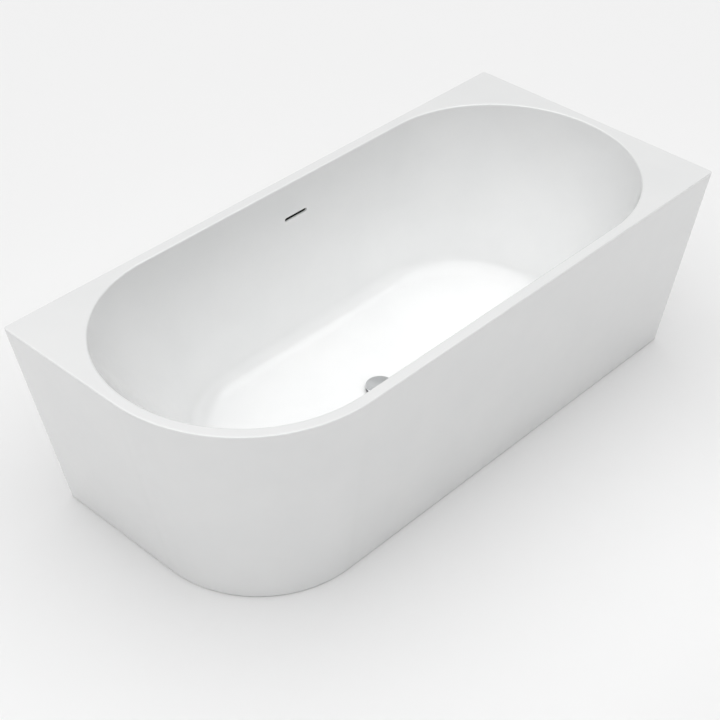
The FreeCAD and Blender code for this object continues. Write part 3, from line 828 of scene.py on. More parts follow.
@dataclass
class Basin:
    """The bathing shell: rim, lip, leaning walls, floor, drain hole and overflow slot.

    Attributes:
        shell: the sizes shared with the skirt.
        shop: the finishes and the Geometry Nodes trees.
        border: the width of the rim along the straight sides.
        rim_depth: the thickness of the rim.
        rim_round, lip_round: the radii of the rim's outer edge and of its inner lip.
        floor_level: the height of the floor's inside.
        floor_fall: how much the floor rises per metre away from the drain.
        floor: the floor's outline where the walls would meet it without a bend.
        floor_bend: the bend's size, from that outline.
        recess, bore: the radii of the drain's recess and hole.
        recess_depth, recess_edge: how deep the recess is, and the rounding of its edge.
        boss, boss_depth, boss_edge: the radius, depth and bevel of the thicker ring under the drain.
        drain: the drain's centre, on the plan.
        slot_length, slot_height, slot_level: the overflow slot in the back wall.
        end_steps, side_steps: the sections drawn round each end and along each side.
        hold: how far from a rounding the flat beside it gets its first line of points.
    """

    shell: Shell
    shop: "Workshop"
    border: float = 0.030
    rim_depth: float = 0.006
    rim_round: float = 0.004
    lip_round: float = 0.005
    floor_level: float = 0.130
    floor_fall: float = 0.004
    floor: Oval = Oval(-0.510, 0.642, -0.273, 0.309, 0.262, 0.262)
    floor_bend: float = 0.046
    recess: float = 0.037
    recess_depth: float = 0.004
    recess_edge: float = 0.0015
    bore: float = 0.025
    boss: float = 0.052
    boss_depth: float = 0.004
    boss_edge: float = 0.001
    drain: Vector = field(default_factory=lambda: middle("drain_flange").to_2d())
    slot_length: float = 0.080
    slot_height: float = 0.0105
    slot_level: float = 0.5035
    end_steps: int = 120
    side_steps: int = 84
    hold: float = 0.0008

    def stations(self) -> list[tuple[Side, float]]:
        """The places round the basin where its section is drawn, closer together at the deck's corners.

        Returns:
            Each place's stretch of the outline and share along it.
        """
        places: list[tuple[Side, float]] = []
        corner_steps = [0.25 + 0.0016 * k for k in range(-6, 7)]
        for side in Side:
            count = self.end_steps if side in (Side.RIGHT_END, Side.LEFT_END) else self.side_steps
            shares = [step / count for step in range(count)]
            extra: list[float] = []
            if side is Side.RIGHT_END:
                extra = corner_steps + [1 - share for share in corner_steps]
            if side is Side.LEFT_END:
                extra = corner_steps
            shares = [s for s in shares if all(abs(s - e) > 0.0012 for e in extra)] + extra
            places += [(side, share) for share in sorted(shares)]
        return places

    def rim_oval(self) -> Oval:
        """The opening's outline at the rim."""
        x, y = self.shell.high.x - self.border, self.shell.high.y - self.border
        return Oval(-x, x, -y, y, y, y)

    def section(self, side: Side, share: float) -> Ring:
        """The closed section of the shell at one station.

        Args:
            side: the stretch of the outline.
            share: the place along it.

        Returns:
            Points from the rim's outer edge, over the inside to the drain, and back underneath.
        """
        top = self.shell.high.z
        under_rim = top - self.rim_depth
        oval = self.rim_oval()
        inner = oval.point(side, share)
        if side in (Side.RIGHT_END, Side.LEFT_END):
            origin = oval.centre(side)
        else:
            origin = Vector((inner.x, 0.0))
        outward = (inner - origin).normalized()

        points = [lifted(self.shell.plan(under_rim).reach(origin, outward), under_rim)]
        for step in range(7):
            angle = math.radians(90 * step / 6)
            gap = self.rim_round * (1 - math.cos(angle))
            height = top - self.rim_round * (1 - math.sin(angle))
            points.append(lifted(self.shell.plan(height).inset(gap).reach(origin, outward), height))
        shoulder = self.shell.plan(top).inset(self.rim_round + self.hold).reach(origin, outward)
        points.append(lifted(shoulder, top))

        points += self.inside(side, share, inner, outward, top)
        hole = self.drain_points(points[-1])
        points += hole
        points += self.underside(side, share, inner, outward, under_rim, hole[-1])
        return points

    def wall_bend(self, rim_point: Vector, floor_point: Vector, size: float) -> tuple[Ring, Ring]:
        """The wall's straight run and the bend at its foot.

        Args:
            rim_point: where the wall starts.
            floor_point: where the wall would meet the floor.
            size: how far the bend starts from that meeting.

        Returns:
            The run's points and the bend's points.
        """
        slope = (floor_point - rim_point).normalized()
        middle = lifted(self.floor_heart(floor_point), floor_point.z)
        inward = (middle - floor_point).normalized()
        bend = fillet(floor_point - slope * size, floor_point, floor_point + inward * size, 14)
        run = [rim_point.lerp(bend[0], step / 12) for step in range(1, 12)]
        return run, bend

    def floor_heart(self, point: Vector) -> Vector:
        """The nearest point of the floor's middle line."""
        left, right = self.floor.centre(Side.LEFT_END), self.floor.centre(Side.RIGHT_END)
        return Vector((min(max(point.x, left.x), right.x), left.y))

    def rise(self, point: Vector) -> float:
        """How much higher than at the drain the floor is at a point."""
        away = (point.to_2d() - self.drain).length - self.boss
        return self.floor_fall * max(away, 0.0)

    def inside(self, side: Side, share: float, inner: Vector, outward: Vector, top: float) -> Ring:
        """The bathing side of the section, from the deck to the edge of the drain's recess.

        Args:
            side: the stretch of the outline.
            share: the place along it.
            inner: the opening's outline here.
            outward: the direction away from the basin.
            top: the height of the rim.

        Returns:
            The points.
        """
        corner = lifted(inner, top)
        foot = lifted(self.floor.point(side, share), self.floor_level)
        foot.z += self.rise(foot)
        slope = (foot - corner).normalized()
        out = lifted(outward, 0.0)
        setback = self.lip_round * math.tan((math.pi - out.angle(slope)) / 2)
        lip = fillet(corner + out * setback, corner, corner + slope * setback, 7)
        points = [lip[0] + out * self.hold, *lip]
        run, bend = self.wall_bend(lip[-1], foot, self.floor_bend)
        points += run + bend
        last = bend[-1]
        away = (last.to_2d() - self.drain).normalized()
        edge = self.drain + away * (self.recess + self.recess_edge)
        for step in range(1, 15):
            share_in = 1 - (1 - step / 14) ** 1.5
            spot = last.to_2d().lerp(edge, share_in)
            points.append(lifted(spot, self.floor_level + self.rise(spot)))
        return points

    def drain_points(self, edge: Vector) -> Ring:
        """The drain's recess, hole and boss, below one point of the recess's edge.

        Args:
            edge: the point on the floor.

        Returns:
            The points, down the recess, through the hole and out along the boss.
        """
        away = (edge.to_2d() - self.drain).normalized()
        floor, ledge = self.floor_level, self.floor_level - self.recess_depth
        under = floor - self.shell.wall
        rows = (
            (self.recess + 0.0004, floor - 0.0004),
            (self.recess, floor - self.recess_edge),
            (self.recess, ledge),
            (self.bore, ledge),
            (self.bore, under - self.boss_depth),
            (self.boss - self.boss_edge, under - self.boss_depth),
            (self.boss, under - self.boss_depth + self.boss_edge),
            (self.boss, under),
        )
        return [lifted(self.drain + away * radius, height) for radius, height in rows]

    def underside(
        self, side: Side, share: float, inner: Vector, outward: Vector, under_rim: float, start: Vector
    ) -> Ring:
        """The hidden side of the section, from the boss back to the underside of the rim.

        Args:
            side: the stretch of the outline.
            share: the place along it.
            inner: the opening's outline here.
            outward: the direction away from the basin.
            under_rim: the height of the rim's underside.
            start: the last point of the boss.

        Returns:
            The points.
        """
        wall = self.shell.wall
        top = lifted(inner + outward * wall, under_rim)
        foot = lifted(self.floor.grown(wall).point(side, share), self.floor_level - wall)
        run, bend = self.wall_bend(top, foot, self.floor_bend + wall)
        last = bend[-1]
        points = []
        for step in range(1, 8):
            points.append(start.lerp(last, step / 8))
        points += reversed([top, *run, *bend])
        return points

    def build(self) -> None:
        """Makes the basin."""
        sections = [self.section(side, share) for side, share in self.stations()]
        rings = [list(ring) for ring in zip(*sections)]
        piece = skin("basin_shell", rings)
        box_low, box_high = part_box("overflow_box")
        slot = Pill(
            "slot_cutter",
            (box_low.x + box_high.x) / 2,
            self.slot_level,
            self.slot_length,
            self.slot_height,
            (box_low.y - 4 * self.shell.wall, box_low.y + self.shell.wall),
        ).build()
        carve(piece, slot)
        even_normals(piece)
        self.shop.finish(piece, Slot.ACRYLIC, "root", "basin")


@dataclass
class Pill:
    """A solid with a long round-ended outline in X and Z, used as a cutter.

    Attributes:
        name: its name.
        x, z: its centre.
        length, height: its outline.
        depth: where it starts and ends along Y.
    """

    name: str
    x: float
    z: float
    length: float
    height: float
    depth: tuple[float, float]

    def build(self) -> bpy.types.Object:
        """Makes the solid.

        Returns:
            The object.
        """
        radius = self.height / 2
        reach = self.length / 2 - radius
        ring = []
        for end, first in ((1, -90), (-1, 90)):
            for step in range(13):
                angle = math.radians(first + 180 * step / 12)
                x = self.x + end * reach + radius * math.cos(angle)
                ring.append((x, self.z + radius * math.sin(angle)))
        rings = [[Vector((x, y, z)) for x, z in ring] for y in self.depth]
        return skin(self.name, rings, closed=False)


# ---- skirt --------------------------------------------------------------------------------


@dataclass
class Skirt:
    """The outer panel, with the plumber's opening in its back.

    Attributes:
        shell: the sizes shared with the basin.
        shop: the finishes and the Geometry Nodes trees.
        rim_depth: how far below the rim's top it starts.
        edge_round: the radius of its bottom edge.
        opening: the left, right and top of the opening.
        opening_corner: the radius of the opening's corners.
        opening_reach: how far the opening's cutter reaches to each side of the back.
        inner_edge: the small bevel of the bottom edge's inner side.
        levels: the number of bands drawn between the top and the bottom.
    """

    shell: Shell
    shop: "Workshop"
    rim_depth: float = 0.006
    edge_round: float = 0.0018
    opening: tuple[float, float, float] = (-0.520, 0.640, 0.400)
    opening_corner: float = 0.040
    opening_reach: float = 0.03
    inner_edge: float = 0.0008
    levels: int = 12

    def ring(self, height: float, gap: float) -> Ring:
        """The outline at a height, moved inwards.

        Args:
            height: the height over the floor.
            gap: how far inwards.

        Returns:
            The ring of points.
        """
        plan = self.shell.plan(height).inset(gap)
        loop = plan.loop((8, 8, 8, 72), (8, 16, 8, 16))
        return [lifted(point, height) for point in loop]

    def build(self) -> None:
        """Makes the skirt."""
        top = self.shell.high.z - self.rim_depth
        base = self.shell.low.z
        wall = self.shell.wall
        rings = [self.ring(top, 0.0)]
        for step in range(1, self.levels):
            rings.append(self.ring(top + (base + self.edge_round - top) * step / self.levels, 0.0))
        for step in range(5):
            angle = math.radians(90 * step / 4)
            rings.append(
                self.ring(
                    base + self.edge_round * (1 - math.sin(angle)),
                    self.edge_round * (1 - math.cos(angle)),
                )
            )
        rings.append(self.ring(base, wall - self.inner_edge))
        rings.append(self.ring(base + self.inner_edge, wall))
        rings.append(self.ring(top, wall))
        piece = skin("outer_panel", rings)
        carve(piece, self.opening_cutter())
        even_normals(piece)
        self.shop.finish(piece, Slot.ACRYLIC, "root", "skirt")

    def opening_cutter(self) -> bpy.types.Object:
        """Makes the solid that cuts the opening in the back.

        Returns:
            The cutter.
        """
        left, right, top = self.opening
        corner = self.opening_corner
        outline = Plan(left, right, -top, top, (corner,) * 4).loop((10,) * 4, (4,) * 4)
        back = self.shell.high.y
        sides = (back - self.opening_reach, back + self.opening_reach)
        rings = [[Vector((p.x, y, p.y)) for p in outline] for y in sides]
        return skin("opening_cutter", rings, closed=False)


# ---- geometry nodes -----------------------------------------------------------------------


# The depth of a screw thread as a share of its pitch, and how far its core reaches into the ridge.
THREAD_DEPTH = 0.54
THREAD_BITE = 0.00005
# The smallest and largest drop in a weld, against the middle one.
WELD_SCALES = (0.8, 1.15)
# A hexagon's chamfer: the radius where it starts, against half the flats, and its slope.
NUT_TURN = 1.03
NUT_SLOPE = math.radians(30)


class Recipe(Tree):
    """A Geometry Nodes tree with named inputs, run once on a piece and baked into its mesh."""

    def __init__(self, name: str, sockets: dict[str, str]) -> None:
        """Starts the tree.

        Args:
            name: the tree's name.
            sockets: the type of each input after the geometry, by name.
        """
        group = bpy.data.node_groups.new(name, "GeometryNodeTree")
        super().__init__(group)
        inputs = {"Geometry": "NodeSocketGeometry", **sockets, "Material": "NodeSocketMaterial"}
        for label, kind in inputs.items():
            group.interface.new_socket(label, in_out="INPUT", socket_type=kind)
        group.interface.new_socket("Geometry", in_out="OUTPUT", socket_type="NodeSocketGeometry")
        self.inside = self.add("NodeGroupInput")
        self.outside = self.add("NodeGroupOutput")

    def close(self, geometry: bpy.types.NodeSocket) -> None:
        """Ends the tree: real geometry, smooth shading and the material.

        Args:
            geometry: the result.
        """
        real = self.add("GeometryNodeRealizeInstances")
        smooth = self.add("GeometryNodeSetShadeSmooth")
        paint = self.add("GeometryNodeSetMaterial")
        self.join(geometry, real.inputs["Geometry"])
        self.join(real.outputs["Geometry"], smooth.inputs["Geometry"])
        self.join(smooth.outputs["Geometry"], paint.inputs["Geometry"])
        self.join(self.inside.outputs["Material"], paint.inputs["Material"])
        self.join(paint.outputs["Geometry"], self.outside.inputs["Geometry"])

    def bake(self, name: str, host: Sequence[Vector], linked: bool, **values: object) -> bpy.types.Object:
        """Runs the tree on a row of points.

        Args:
            name: the new piece's name.
            host: the points, in the frame's own coordinates.
            linked: whether an edge joins each point to the next.
            values: the inputs' values, with spaces written as underscores.

        Returns:
            The piece, with a plain mesh.
        """
        mesh = bpy.data.meshes.new(name)
        edges = [(index, index + 1) for index in range(len(host) - 1)] if linked else []
        mesh.from_pydata([tuple(point) for point in host], edges, [])
        piece = bpy.data.objects.new(name, mesh)
        bpy.context.scene.collection.objects.link(piece)
        modifier = piece.modifiers.new(self.tree.name, "NODES")
        modifier.node_group = self.tree
        for item in self.tree.interface.items_tree:
            given = values.get(item.name.replace(" ", "_"))
            if item.in_out == "INPUT" and given is not None:
                modifier[item.identifier] = given
        settle(piece)
        piece.data.set_sharp_from_angle(angle=CREASE)
        return piece


def copies_recipe() -> Recipe:
    """Builds the tree that puts a copy of one part on each point.

    Returns:
        The tree, with the input Part.
    """
    pad = Recipe("copies", {"Part": "NodeSocketObject"})
    part = pad.add("GeometryNodeObjectInfo")
    place = pad.add("GeometryNodeInstanceOnPoints")
    pad.join(pad.inside.outputs["Part"], part.inputs["Object"])
    pad.join(pad.inside.outputs["Geometry"], place.inputs["Points"])
    pad.join(part.outputs["Geometry"], place.inputs["Instance"])
    pad.close(place.outputs["Instances"])
    return pad


def ribbed_hose_recipe() -> Recipe:
    """Builds the tree that sweeps a ribbed tube along a line of points.

    Returns:
        The tree, with the inputs Radius, Rib Depth and Rib Pitch.
    """
    number = "NodeSocketFloat"
    pad = Recipe("ribbed_hose", {"Radius": number, "Rib Depth": number, "Rib Pitch": number})
    path = pad.add("GeometryNodeMeshToCurve")
    even = pad.add("GeometryNodeResampleCurve", mode="LENGTH")
    along = pad.add("GeometryNodeSplineParameter")
    ring = pad.add("GeometryNodeCurvePrimitiveCircle", Resolution=28, Radius=1.0)
    sweep = pad.add("GeometryNodeCurveToMesh", Fill_Caps=True)
    pad.join(pad.inside.outputs["Geometry"], path.inputs["Mesh"])
    pad.join(path.outputs["Curve"], even.inputs["Curve"])
    pad.join(pad.math("DIVIDE", pad.inside.outputs["Rib Pitch"], 6.0), even.inputs["Length"])
    turns = pad.math("DIVIDE", along.outputs["Length"], pad.inside.outputs["Rib Pitch"])
    wave = pad.math("COSINE", pad.math("MULTIPLY", turns, math.tau), 0.0)
    swell = pad.math("MULTIPLY", pad.math("SUBTRACT", wave, 1.0), 0.5)
    groove = pad.math("MULTIPLY", swell, pad.inside.outputs["Rib Depth"])
    pad.join(even.outputs["Curve"], sweep.inputs["Curve"])
    pad.join(ring.outputs["Curve"], sweep.inputs["Profile Curve"])
    pad.join(pad.math("ADD", pad.inside.outputs["Radius"], groove), sweep.inputs["Scale"])
    pad.close(sweep.outputs["Mesh"])
    return pad


def thread_recipe() -> Recipe:
    """Builds the tree that winds a screw thread on a round core, upwards from each point.

    Returns:
        The tree, with the inputs Radius, Pitch and Length.
    """
    number = "NodeSocketFloat"
    pad = Recipe("thread", {"Radius": number, "Pitch": number, "Length": number})
    depth = pad.math("MULTIPLY", pad.inside.outputs["Pitch"], THREAD_DEPTH)
    middle = pad.math("SUBTRACT", pad.inside.outputs["Radius"], depth)
    turns = pad.math("DIVIDE", pad.inside.outputs["Length"], pad.inside.outputs["Pitch"])
    spiral = pad.add("GeometryNodeCurveSpiral", Resolution=24)
    pad.join(turns, spiral.inputs["Rotations"])
    pad.join(middle, spiral.inputs["Start Radius"])
    pad.join(middle, spiral.inputs["End Radius"])
    pad.join(pad.inside.outputs["Length"], spiral.inputs["Height"])
    upright = pad.add("GeometryNodeSetCurveNormal", mode="Z_UP")
    pad.join(spiral.outputs["Curve"], upright.inputs["Curve"])
    ridge = pad.add("GeometryNodeCurvePrimitiveCircle", Resolution=4)
    pad.join(depth, ridge.inputs["Radius"])
    wind = pad.add("GeometryNodeCurveToMesh", Fill_Caps=True)
    pad.join(upright.outputs["Curve"], wind.inputs["Curve"])
    pad.join(ridge.outputs["Curve"], wind.inputs["Profile Curve"])
    core = pad.add("GeometryNodeMeshCylinder", Vertices=24)
    pad.join(pad.math("ADD", middle, THREAD_BITE), core.inputs["Radius"])
    pad.join(pad.inside.outputs["Length"], core.inputs["Depth"])
    lift = pad.add("GeometryNodeTransform")
    offset = pad.add("ShaderNodeCombineXYZ")
    pad.join(pad.math("MULTIPLY", pad.inside.outputs["Length"], 0.5), offset.inputs["Z"])
    pad.join(core.outputs["Mesh"], lift.inputs["Geometry"])
    pad.join(offset.outputs["Vector"], lift.inputs["Translation"])
    both = pad.add("GeometryNodeJoinGeometry")
    pad.join(lift.outputs["Geometry"], both.inputs["Geometry"])
    pad.join(wind.outputs["Mesh"], both.inputs["Geometry"])
    place = pad.add("GeometryNodeInstanceOnPoints")
    pad.join(pad.inside.outputs["Geometry"], place.inputs["Points"])
    pad.join(both.outputs["Geometry"], place.inputs["Instance"])
    pad.close(place.outputs["Instances"])
    return pad


def weld_recipe() -> Recipe:
    """Builds the tree that lays a weld's overlapping drops along a line of points.

    Returns:
        The tree, with the inputs Step, Size and Seed.
    """
    number = "NodeSocketFloat"
    pad = Recipe("weld", {"Step": number, "Size": number, "Seed": "NodeSocketInt"})
    path = pad.add("GeometryNodeMeshToCurve")
    even = pad.add("GeometryNodeResampleCurve", mode="LENGTH")
    drop = pad.add("GeometryNodeMeshIcoSphere", Subdivisions=2)
    vary = pad.add("FunctionNodeRandomValue", data_type="FLOAT")
    vary.inputs[2].default_value, vary.inputs[3].default_value = WELD_SCALES
    place = pad.add("GeometryNodeInstanceOnPoints")
    pad.join(pad.inside.outputs["Geometry"], path.inputs["Mesh"])
    pad.join(path.outputs["Curve"], even.inputs["Curve"])
    pad.join(pad.inside.outputs["Step"], even.inputs["Length"])
    pad.join(pad.inside.outputs["Size"], drop.inputs["Radius"])
    pad.join(pad.inside.outputs["Seed"], vary.inputs["Seed"])
    pad.join(even.outputs["Curve"], place.inputs["Points"])
    pad.join(drop.outputs["Mesh"], place.inputs["Instance"])
    pad.join(vary.outputs[1], place.inputs["Scale"])
    pad.close(place.outputs["Instances"])
    return pad


@dataclass
class Workshop:
    """What every sub-assembly needs: the finishes and the Geometry Nodes trees.

    Attributes:
        wardrobe: the materials.
        copies: the tree that sets copies of a part on points.
        hose: the tree that makes a ribbed hose along a path.
        thread: the tree that makes a threaded rod.
        weld: the tree that lays a weld's drops along a seam.
    """

    wardrobe: Wardrobe
    copies: Recipe = field(default_factory=copies_recipe)
    hose: Recipe = field(default_factory=ribbed_hose_recipe)
    thread: Recipe = field(default_factory=thread_recipe)
    weld: Recipe = field(default_factory=weld_recipe)

    def finish(self, piece: bpy.types.Object, slot: Slot, body: str, *nodes: str) -> bpy.types.Object:
        """Dresses a piece, lets it ride on a body and has it stand for its nodes.

        Args:
            piece: the piece, in place.
            slot: its finish.
            body: the body that it moves with.
            nodes: the frame's nodes that it replaces.

        Returns:
            The same piece.
        """
        self.wardrobe.dress(piece, slot)
        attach(piece, body)
        if nodes:
            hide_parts(*nodes)
        log.info("%s: %d faces, rides %s", piece.name, len(piece.data.polygons), body)
        return piece

    def spread(
        self, name: str, part: bpy.types.Object, spots: Sequence[Vector], slot: Slot
    ) -> bpy.types.Object:
        """Makes one piece of several copies of a part, and removes the part.

        Args:
            name: the new piece's name.
            part: the part, made round the origin.
            spots: where each copy's origin goes.
            slot: its finish.

        Returns:
            The new piece.
        """
        paint = self.wardrobe.materials[slot]
        piece = self.copies.bake(name, spots, False, Part=part, Material=paint)
        bpy.data.objects.remove(part)
        return piece


def softened(node: str, width: float) -> bpy.types.Object:
    """A copy of a frame node with its sharp edges rounded off.

    Args:
        node: the node's name.
        width: how wide the rounding is, in metres.

    Returns:
        The copy.
    """
    mesh = frame["nodes"][node].data.copy()
    work = bmesh.new()
    work.from_mesh(mesh)
    bmesh.ops.remove_doubles(work, verts=work.verts, dist=SAME_POINT)
    bmesh.ops.dissolve_limit(work, angle_limit=math.radians(1.0), verts=work.verts, edges=work.edges)
    work.to_mesh(mesh)
    work.free()
    piece = bpy.data.objects.new(f"{node}_soft", mesh)
    bpy.context.scene.collection.objects.link(piece)
    bevel = piece.modifiers.new("bevel", "BEVEL")
    bevel.limit_method = "ANGLE"
    bevel.angle_limit = math.radians(40)
    bevel.width = width
    bevel.segments = 2
    settle(piece)
    piece.data.polygons.foreach_set("use_smooth", [True] * len(piece.data.polygons))
    piece.data.set_sharp_from_angle(angle=math.radians(50))
    return even_normals(piece)


def hexagon(name: str, flats: float, height: float, bore: float) -> bpy.types.Object:
    """A hexagonal nut or collar with turned corners, standing on the origin.

    Args:
        name: its name.
        flats: its size across flats.
        height: its height.
        bore: the radius of its hole.

    Returns:
        The object.
    """
    segments = 72
    turned = flats / 2 * NUT_TURN
    profile: list[Ring] = [[] for _ in range(6)]
    for step in range(segments):
        angle = math.tau * step / segments
        wedge = (angle + math.pi / 6) % (math.pi / 3) - math.pi / 6
        reach = flats / 2 / math.cos(wedge)
        drop = max(0.0, reach - turned) * math.tan(NUT_SLOPE)
        face = min(reach, turned)
        rows = (
            (bore, 0.0),
            (face, 0.0),
            (reach, drop),
            (reach, height - drop),
            (face, height),
            (bore, height),
        )
        for ring, (radius, level) in zip(profile, rows):
            ring.append(Vector((radius * math.cos(angle), radius * math.sin(angle), level)))
    return skin(name, profile)


def rounded(points: Sequence[tuple[float, float]], radii: Sequence[float]) -> list[tuple[float, float]]:
    """Rounds the corners of a lathe profile.

    Args:
        points: the profile's corners, as radius and distance along the axis.
        radii: how far each corner's rounding reaches, or 0 to keep it sharp.

    Returns:
        The profile with its corners rounded.
    """
    result = []
    for index, (point, size) in enumerate(zip(points, radii)):
        corner = Vector(point).to_3d()
        if size == 0:
            result.append(point)
            continue
        before = Vector(points[index - 1]).to_3d()
        after = Vector(points[(index + 1) % len(points)]).to_3d()
        start = corner + (before - corner).normalized() * size
        end = corner + (after - corner).normalized() * size
        result += [(p.x, p.y) for p in fillet(start, corner, end, 4)]
    return result


def ribs(piece: bpy.types.Object, centre: Vector, axis: str, count: int, depth: float, beyond: float) -> None:
    """Presses grip flutes into a turned piece.

    Args:
        piece: the piece.
        centre: a point on its axis.
        axis: X, Y or Z.
        count: the number of flutes.
        depth: how deep they are.
        beyond: the flutes are pressed only into points farther than this from the axis.
    """
    along = {"X": Vector((1, 0, 0)), "Y": Vector((0, 1, 0)), "Z": Vector((0, 0, 1))}[axis]
    across = Vector((along.y, along.z, along.x))
    other = along.cross(across)
    for vertex in piece.data.vertices:
        foot, _ = intersect_point_line(vertex.co, centre, centre + along)
        out = vertex.co - foot
        if out.length > beyond:
            angle = math.atan2(out.dot(other), out.dot(across))
            vertex.co -= out.normalized() * depth * (0.5 - 0.5 * math.cos(count * angle)) ** 2


# ---- drain, trap and overflow -------------------------------------------------------------


@dataclass
class Drain:
    """The chrome cap and flange, and the hidden trap and overflow hose.

    Attributes:
        shop: the finishes and the Geometry Nodes trees.
        dome: how much the cap rises to its middle.
        cap_edge: the rounding of the cap's edge.
        flange_lip: the thickness of the flange's rim.
        tail_bore, tail_radius: the inside and outside of the flange's tailpiece.
        nut_bore, nut_length: the hand nuts.
        cup_bore, cup_floor: the cup's inside and the height of its floor.
        grips, grip_depth: the flutes round each hand nut and the cup.
        grip_band: how far in from the edge the flutes are pressed.
        rib_pitch, rib_depth: the hose's ribs.
        bend: the radius of the hose's bend.
    """

    shop: Workshop
    dome: float = 0.0011
    cap_edge: float = 0.0022
    flange_lip: float = 0.0028
    tail_bore: float = 0.021
    tail_radius: float = 0.0238
    nut_bore: float = 0.0233
    nut_length: float = 0.018
    cup_bore: float = 0.0303
    cup_floor: float = 0.016
    grips: int = 18
    grip_depth: float = 0.0016
    grip_band: float = 0.002
    rib_pitch: float = 0.0052
    rib_depth: float = 0.0015
    bend: float = 0.060

    def build(self) -> None:
        """Makes every piece."""
        self.build_cap()
        self.build_flange()
        self.build_hand_nuts()
        self.build_cup()
        self.build_hose()
        for node, width, slot in (
            ("waste_body", 0.0008, Slot.WHITE_PIPE),
            ("trap_body", 0.0012, Slot.WHITE_PIPE),
            ("outlet_pipe", 0.0008, Slot.WHITE_PIPE),
            # The overflow box is black so that the overflow slot in front of it looks dark: painted shade,
            # standing in for the shadow inside the slot.
            ("overflow_box", 0.0012, Slot.BLACK_PLASTIC),
            ("hose_clamp_upper", 0.0008, Slot.BLACK_PLASTIC),
            ("hose_clamp_lower", 0.0008, Slot.BLACK_PLASTIC),
        ):
            self.shop.finish(softened(node, width), slot, "root", node)

    def build_cap(self) -> None:
        """Makes the cap: a shallow dome with a round edge."""
        low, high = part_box("plug_cap")
        centre = middle("plug_cap")
        centre.z = low.z
        radius, height = (high.x - low.x) / 2, high.z - low.z
        shoulder = radius - self.cap_edge
        profile = [(POLE, height)]
        for step in range(1, 17):
            share = step / 16
            profile.append((shoulder * share, height - self.dome * share**2))
        edge_top = height - self.dome
        for step in range(1, 8):
            angle = math.radians(180 * step / 7)
            reach = shoulder + self.cap_edge * math.sin(angle)
            profile.append((reach, edge_top - edge_top / 2 * (1 - math.cos(angle))))
        profile.append((POLE, 0.0))
        piece = lathe("plug_cap_domed", profile, centre, segments=96, closed=False)
        self.shop.finish(piece, Slot.CHROME, "plug", "plug_cap")

    def build_flange(self) -> None:
        """Makes the flange with its tailpiece."""
        low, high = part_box("drain_flange")
        centre = middle("drain_flange")
        centre.z = low.z
        radius, tall = (high.x - low.x) / 2, high.z - low.z
        under = tall - self.flange_lip
        corners = [
            (self.tail_bore, 0.0),
            (self.tail_bore, tall),
            (radius, tall),
            (radius, under),
            (self.tail_radius, under),
            (self.tail_radius, 0.0),
        ]
        piece = lathe("drain_flange_turned", rounded(corners, (0, 0.0009, 0.0012, 0.0003, 0, 0.0005)), centre)
        self.shop.finish(piece, Slot.CHROME, "root", "drain_flange")

    def build_hand_nuts(self) -> None:
        """Makes the trap's two fluted hand nuts, as one piece."""
        low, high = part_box("trap_nuts")
        trap = middle("trap_cup")
        level = (low.z + high.z) / 2
        radius, bore, length = (high.z - low.z) / 2, self.nut_bore, self.nut_length
        corners = [(bore, 0.0), (bore, length), (radius, length), (radius, 0.0)]
        profile = rounded(corners, (0.0008, 0.0008, 0.003, 0.003))
        parts = []
        for name, axis, start in (
            ("trap_nut_inlet", "X", Vector((high.x - length, trap.y, level))),
            ("trap_nut_outlet", "Y", Vector((trap.x, high.y - length, level))),
        ):
            part = lathe(name, profile, start, axis, segments=144)
            ribs(part, start, axis, self.grips, self.grip_depth, radius - self.grip_band)
            parts.append(part)
        self.shop.finish(merged("trap_hand_nuts", parts), Slot.WHITE_PIPE, "root", "trap_nuts")

    def build_cup(self) -> None:
        """Makes the trap's fluted cup."""
        low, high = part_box("trap_cup")
        centre = middle("trap_cup")
        centre.z = low.z
        radius, tall = (high.x - low.x) / 2, high.z - low.z
        corners = [
            (POLE, 0.0),
            (radius, 0.0),
            (radius, tall),
            (self.cup_bore, tall),
            (self.cup_bore, self.cup_floor),
            (POLE, self.cup_floor),
        ]
        profile = rounded(corners[1:4], (0.004, 0.0015, 0.0008))
        profile = [corners[0], *profile, *corners[4:]]
        piece = lathe("trap_cup_fluted", profile, centre, segments=144, closed=False)
        ribs(piece, centre, "Z", self.grips, self.grip_depth, radius - self.grip_band)
        self.shop.finish(piece, Slot.WHITE_PIPE, "root", "trap_cup")

    def build_hose(self) -> None:
        """Makes the ribbed overflow hose."""
        low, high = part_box("overflow_hose")
        radius = (high.x - low.x) / 2
        x, riser, level = (low.x + high.x) / 2, high.y - radius, low.z + radius
        centre = Vector((x, riser - self.bend, level + self.bend))
        path = [Vector((x, low.y, level))]
        for step in range(17):
            angle = math.radians(-90 + 90 * step / 16)
            path.append(centre + self.bend * Vector((0, math.cos(angle), math.sin(angle))))
        path.append(Vector((x, riser, high.z)))
        piece = self.shop.hose.bake(
            "overflow_hose_ribbed",
            path,
            True,
            Radius=radius,
            Rib_Depth=self.rib_depth,
            Rib_Pitch=self.rib_pitch,
            Material=self.shop.wardrobe.materials[Slot.GREY_HOSE],
        )
        self.shop.finish(piece, Slot.GREY_HOSE, "root", "overflow_hose")


def merged(name: str, parts: Sequence[bpy.types.Object]) -> bpy.types.Object:
    """Makes one object of several, and removes them.

    Args:
        name: the new object's name.
        parts: the objects.

    Returns:
        The new object.
    """
    work = bmesh.new()
    for part in parts:
        work.from_mesh(part.data)
        bpy.data.objects.remove(part)
    mesh = bpy.data.meshes.new(name)
    work.to_mesh(mesh)
    work.free()
    mesh.set_sharp_from_angle(angle=CREASE)
    piece = bpy.data.objects.new(name, mesh)
    bpy.context.scene.collection.objects.link(piece)
    return piece


# ---- frame and feet -----------------------------------------------------------------------


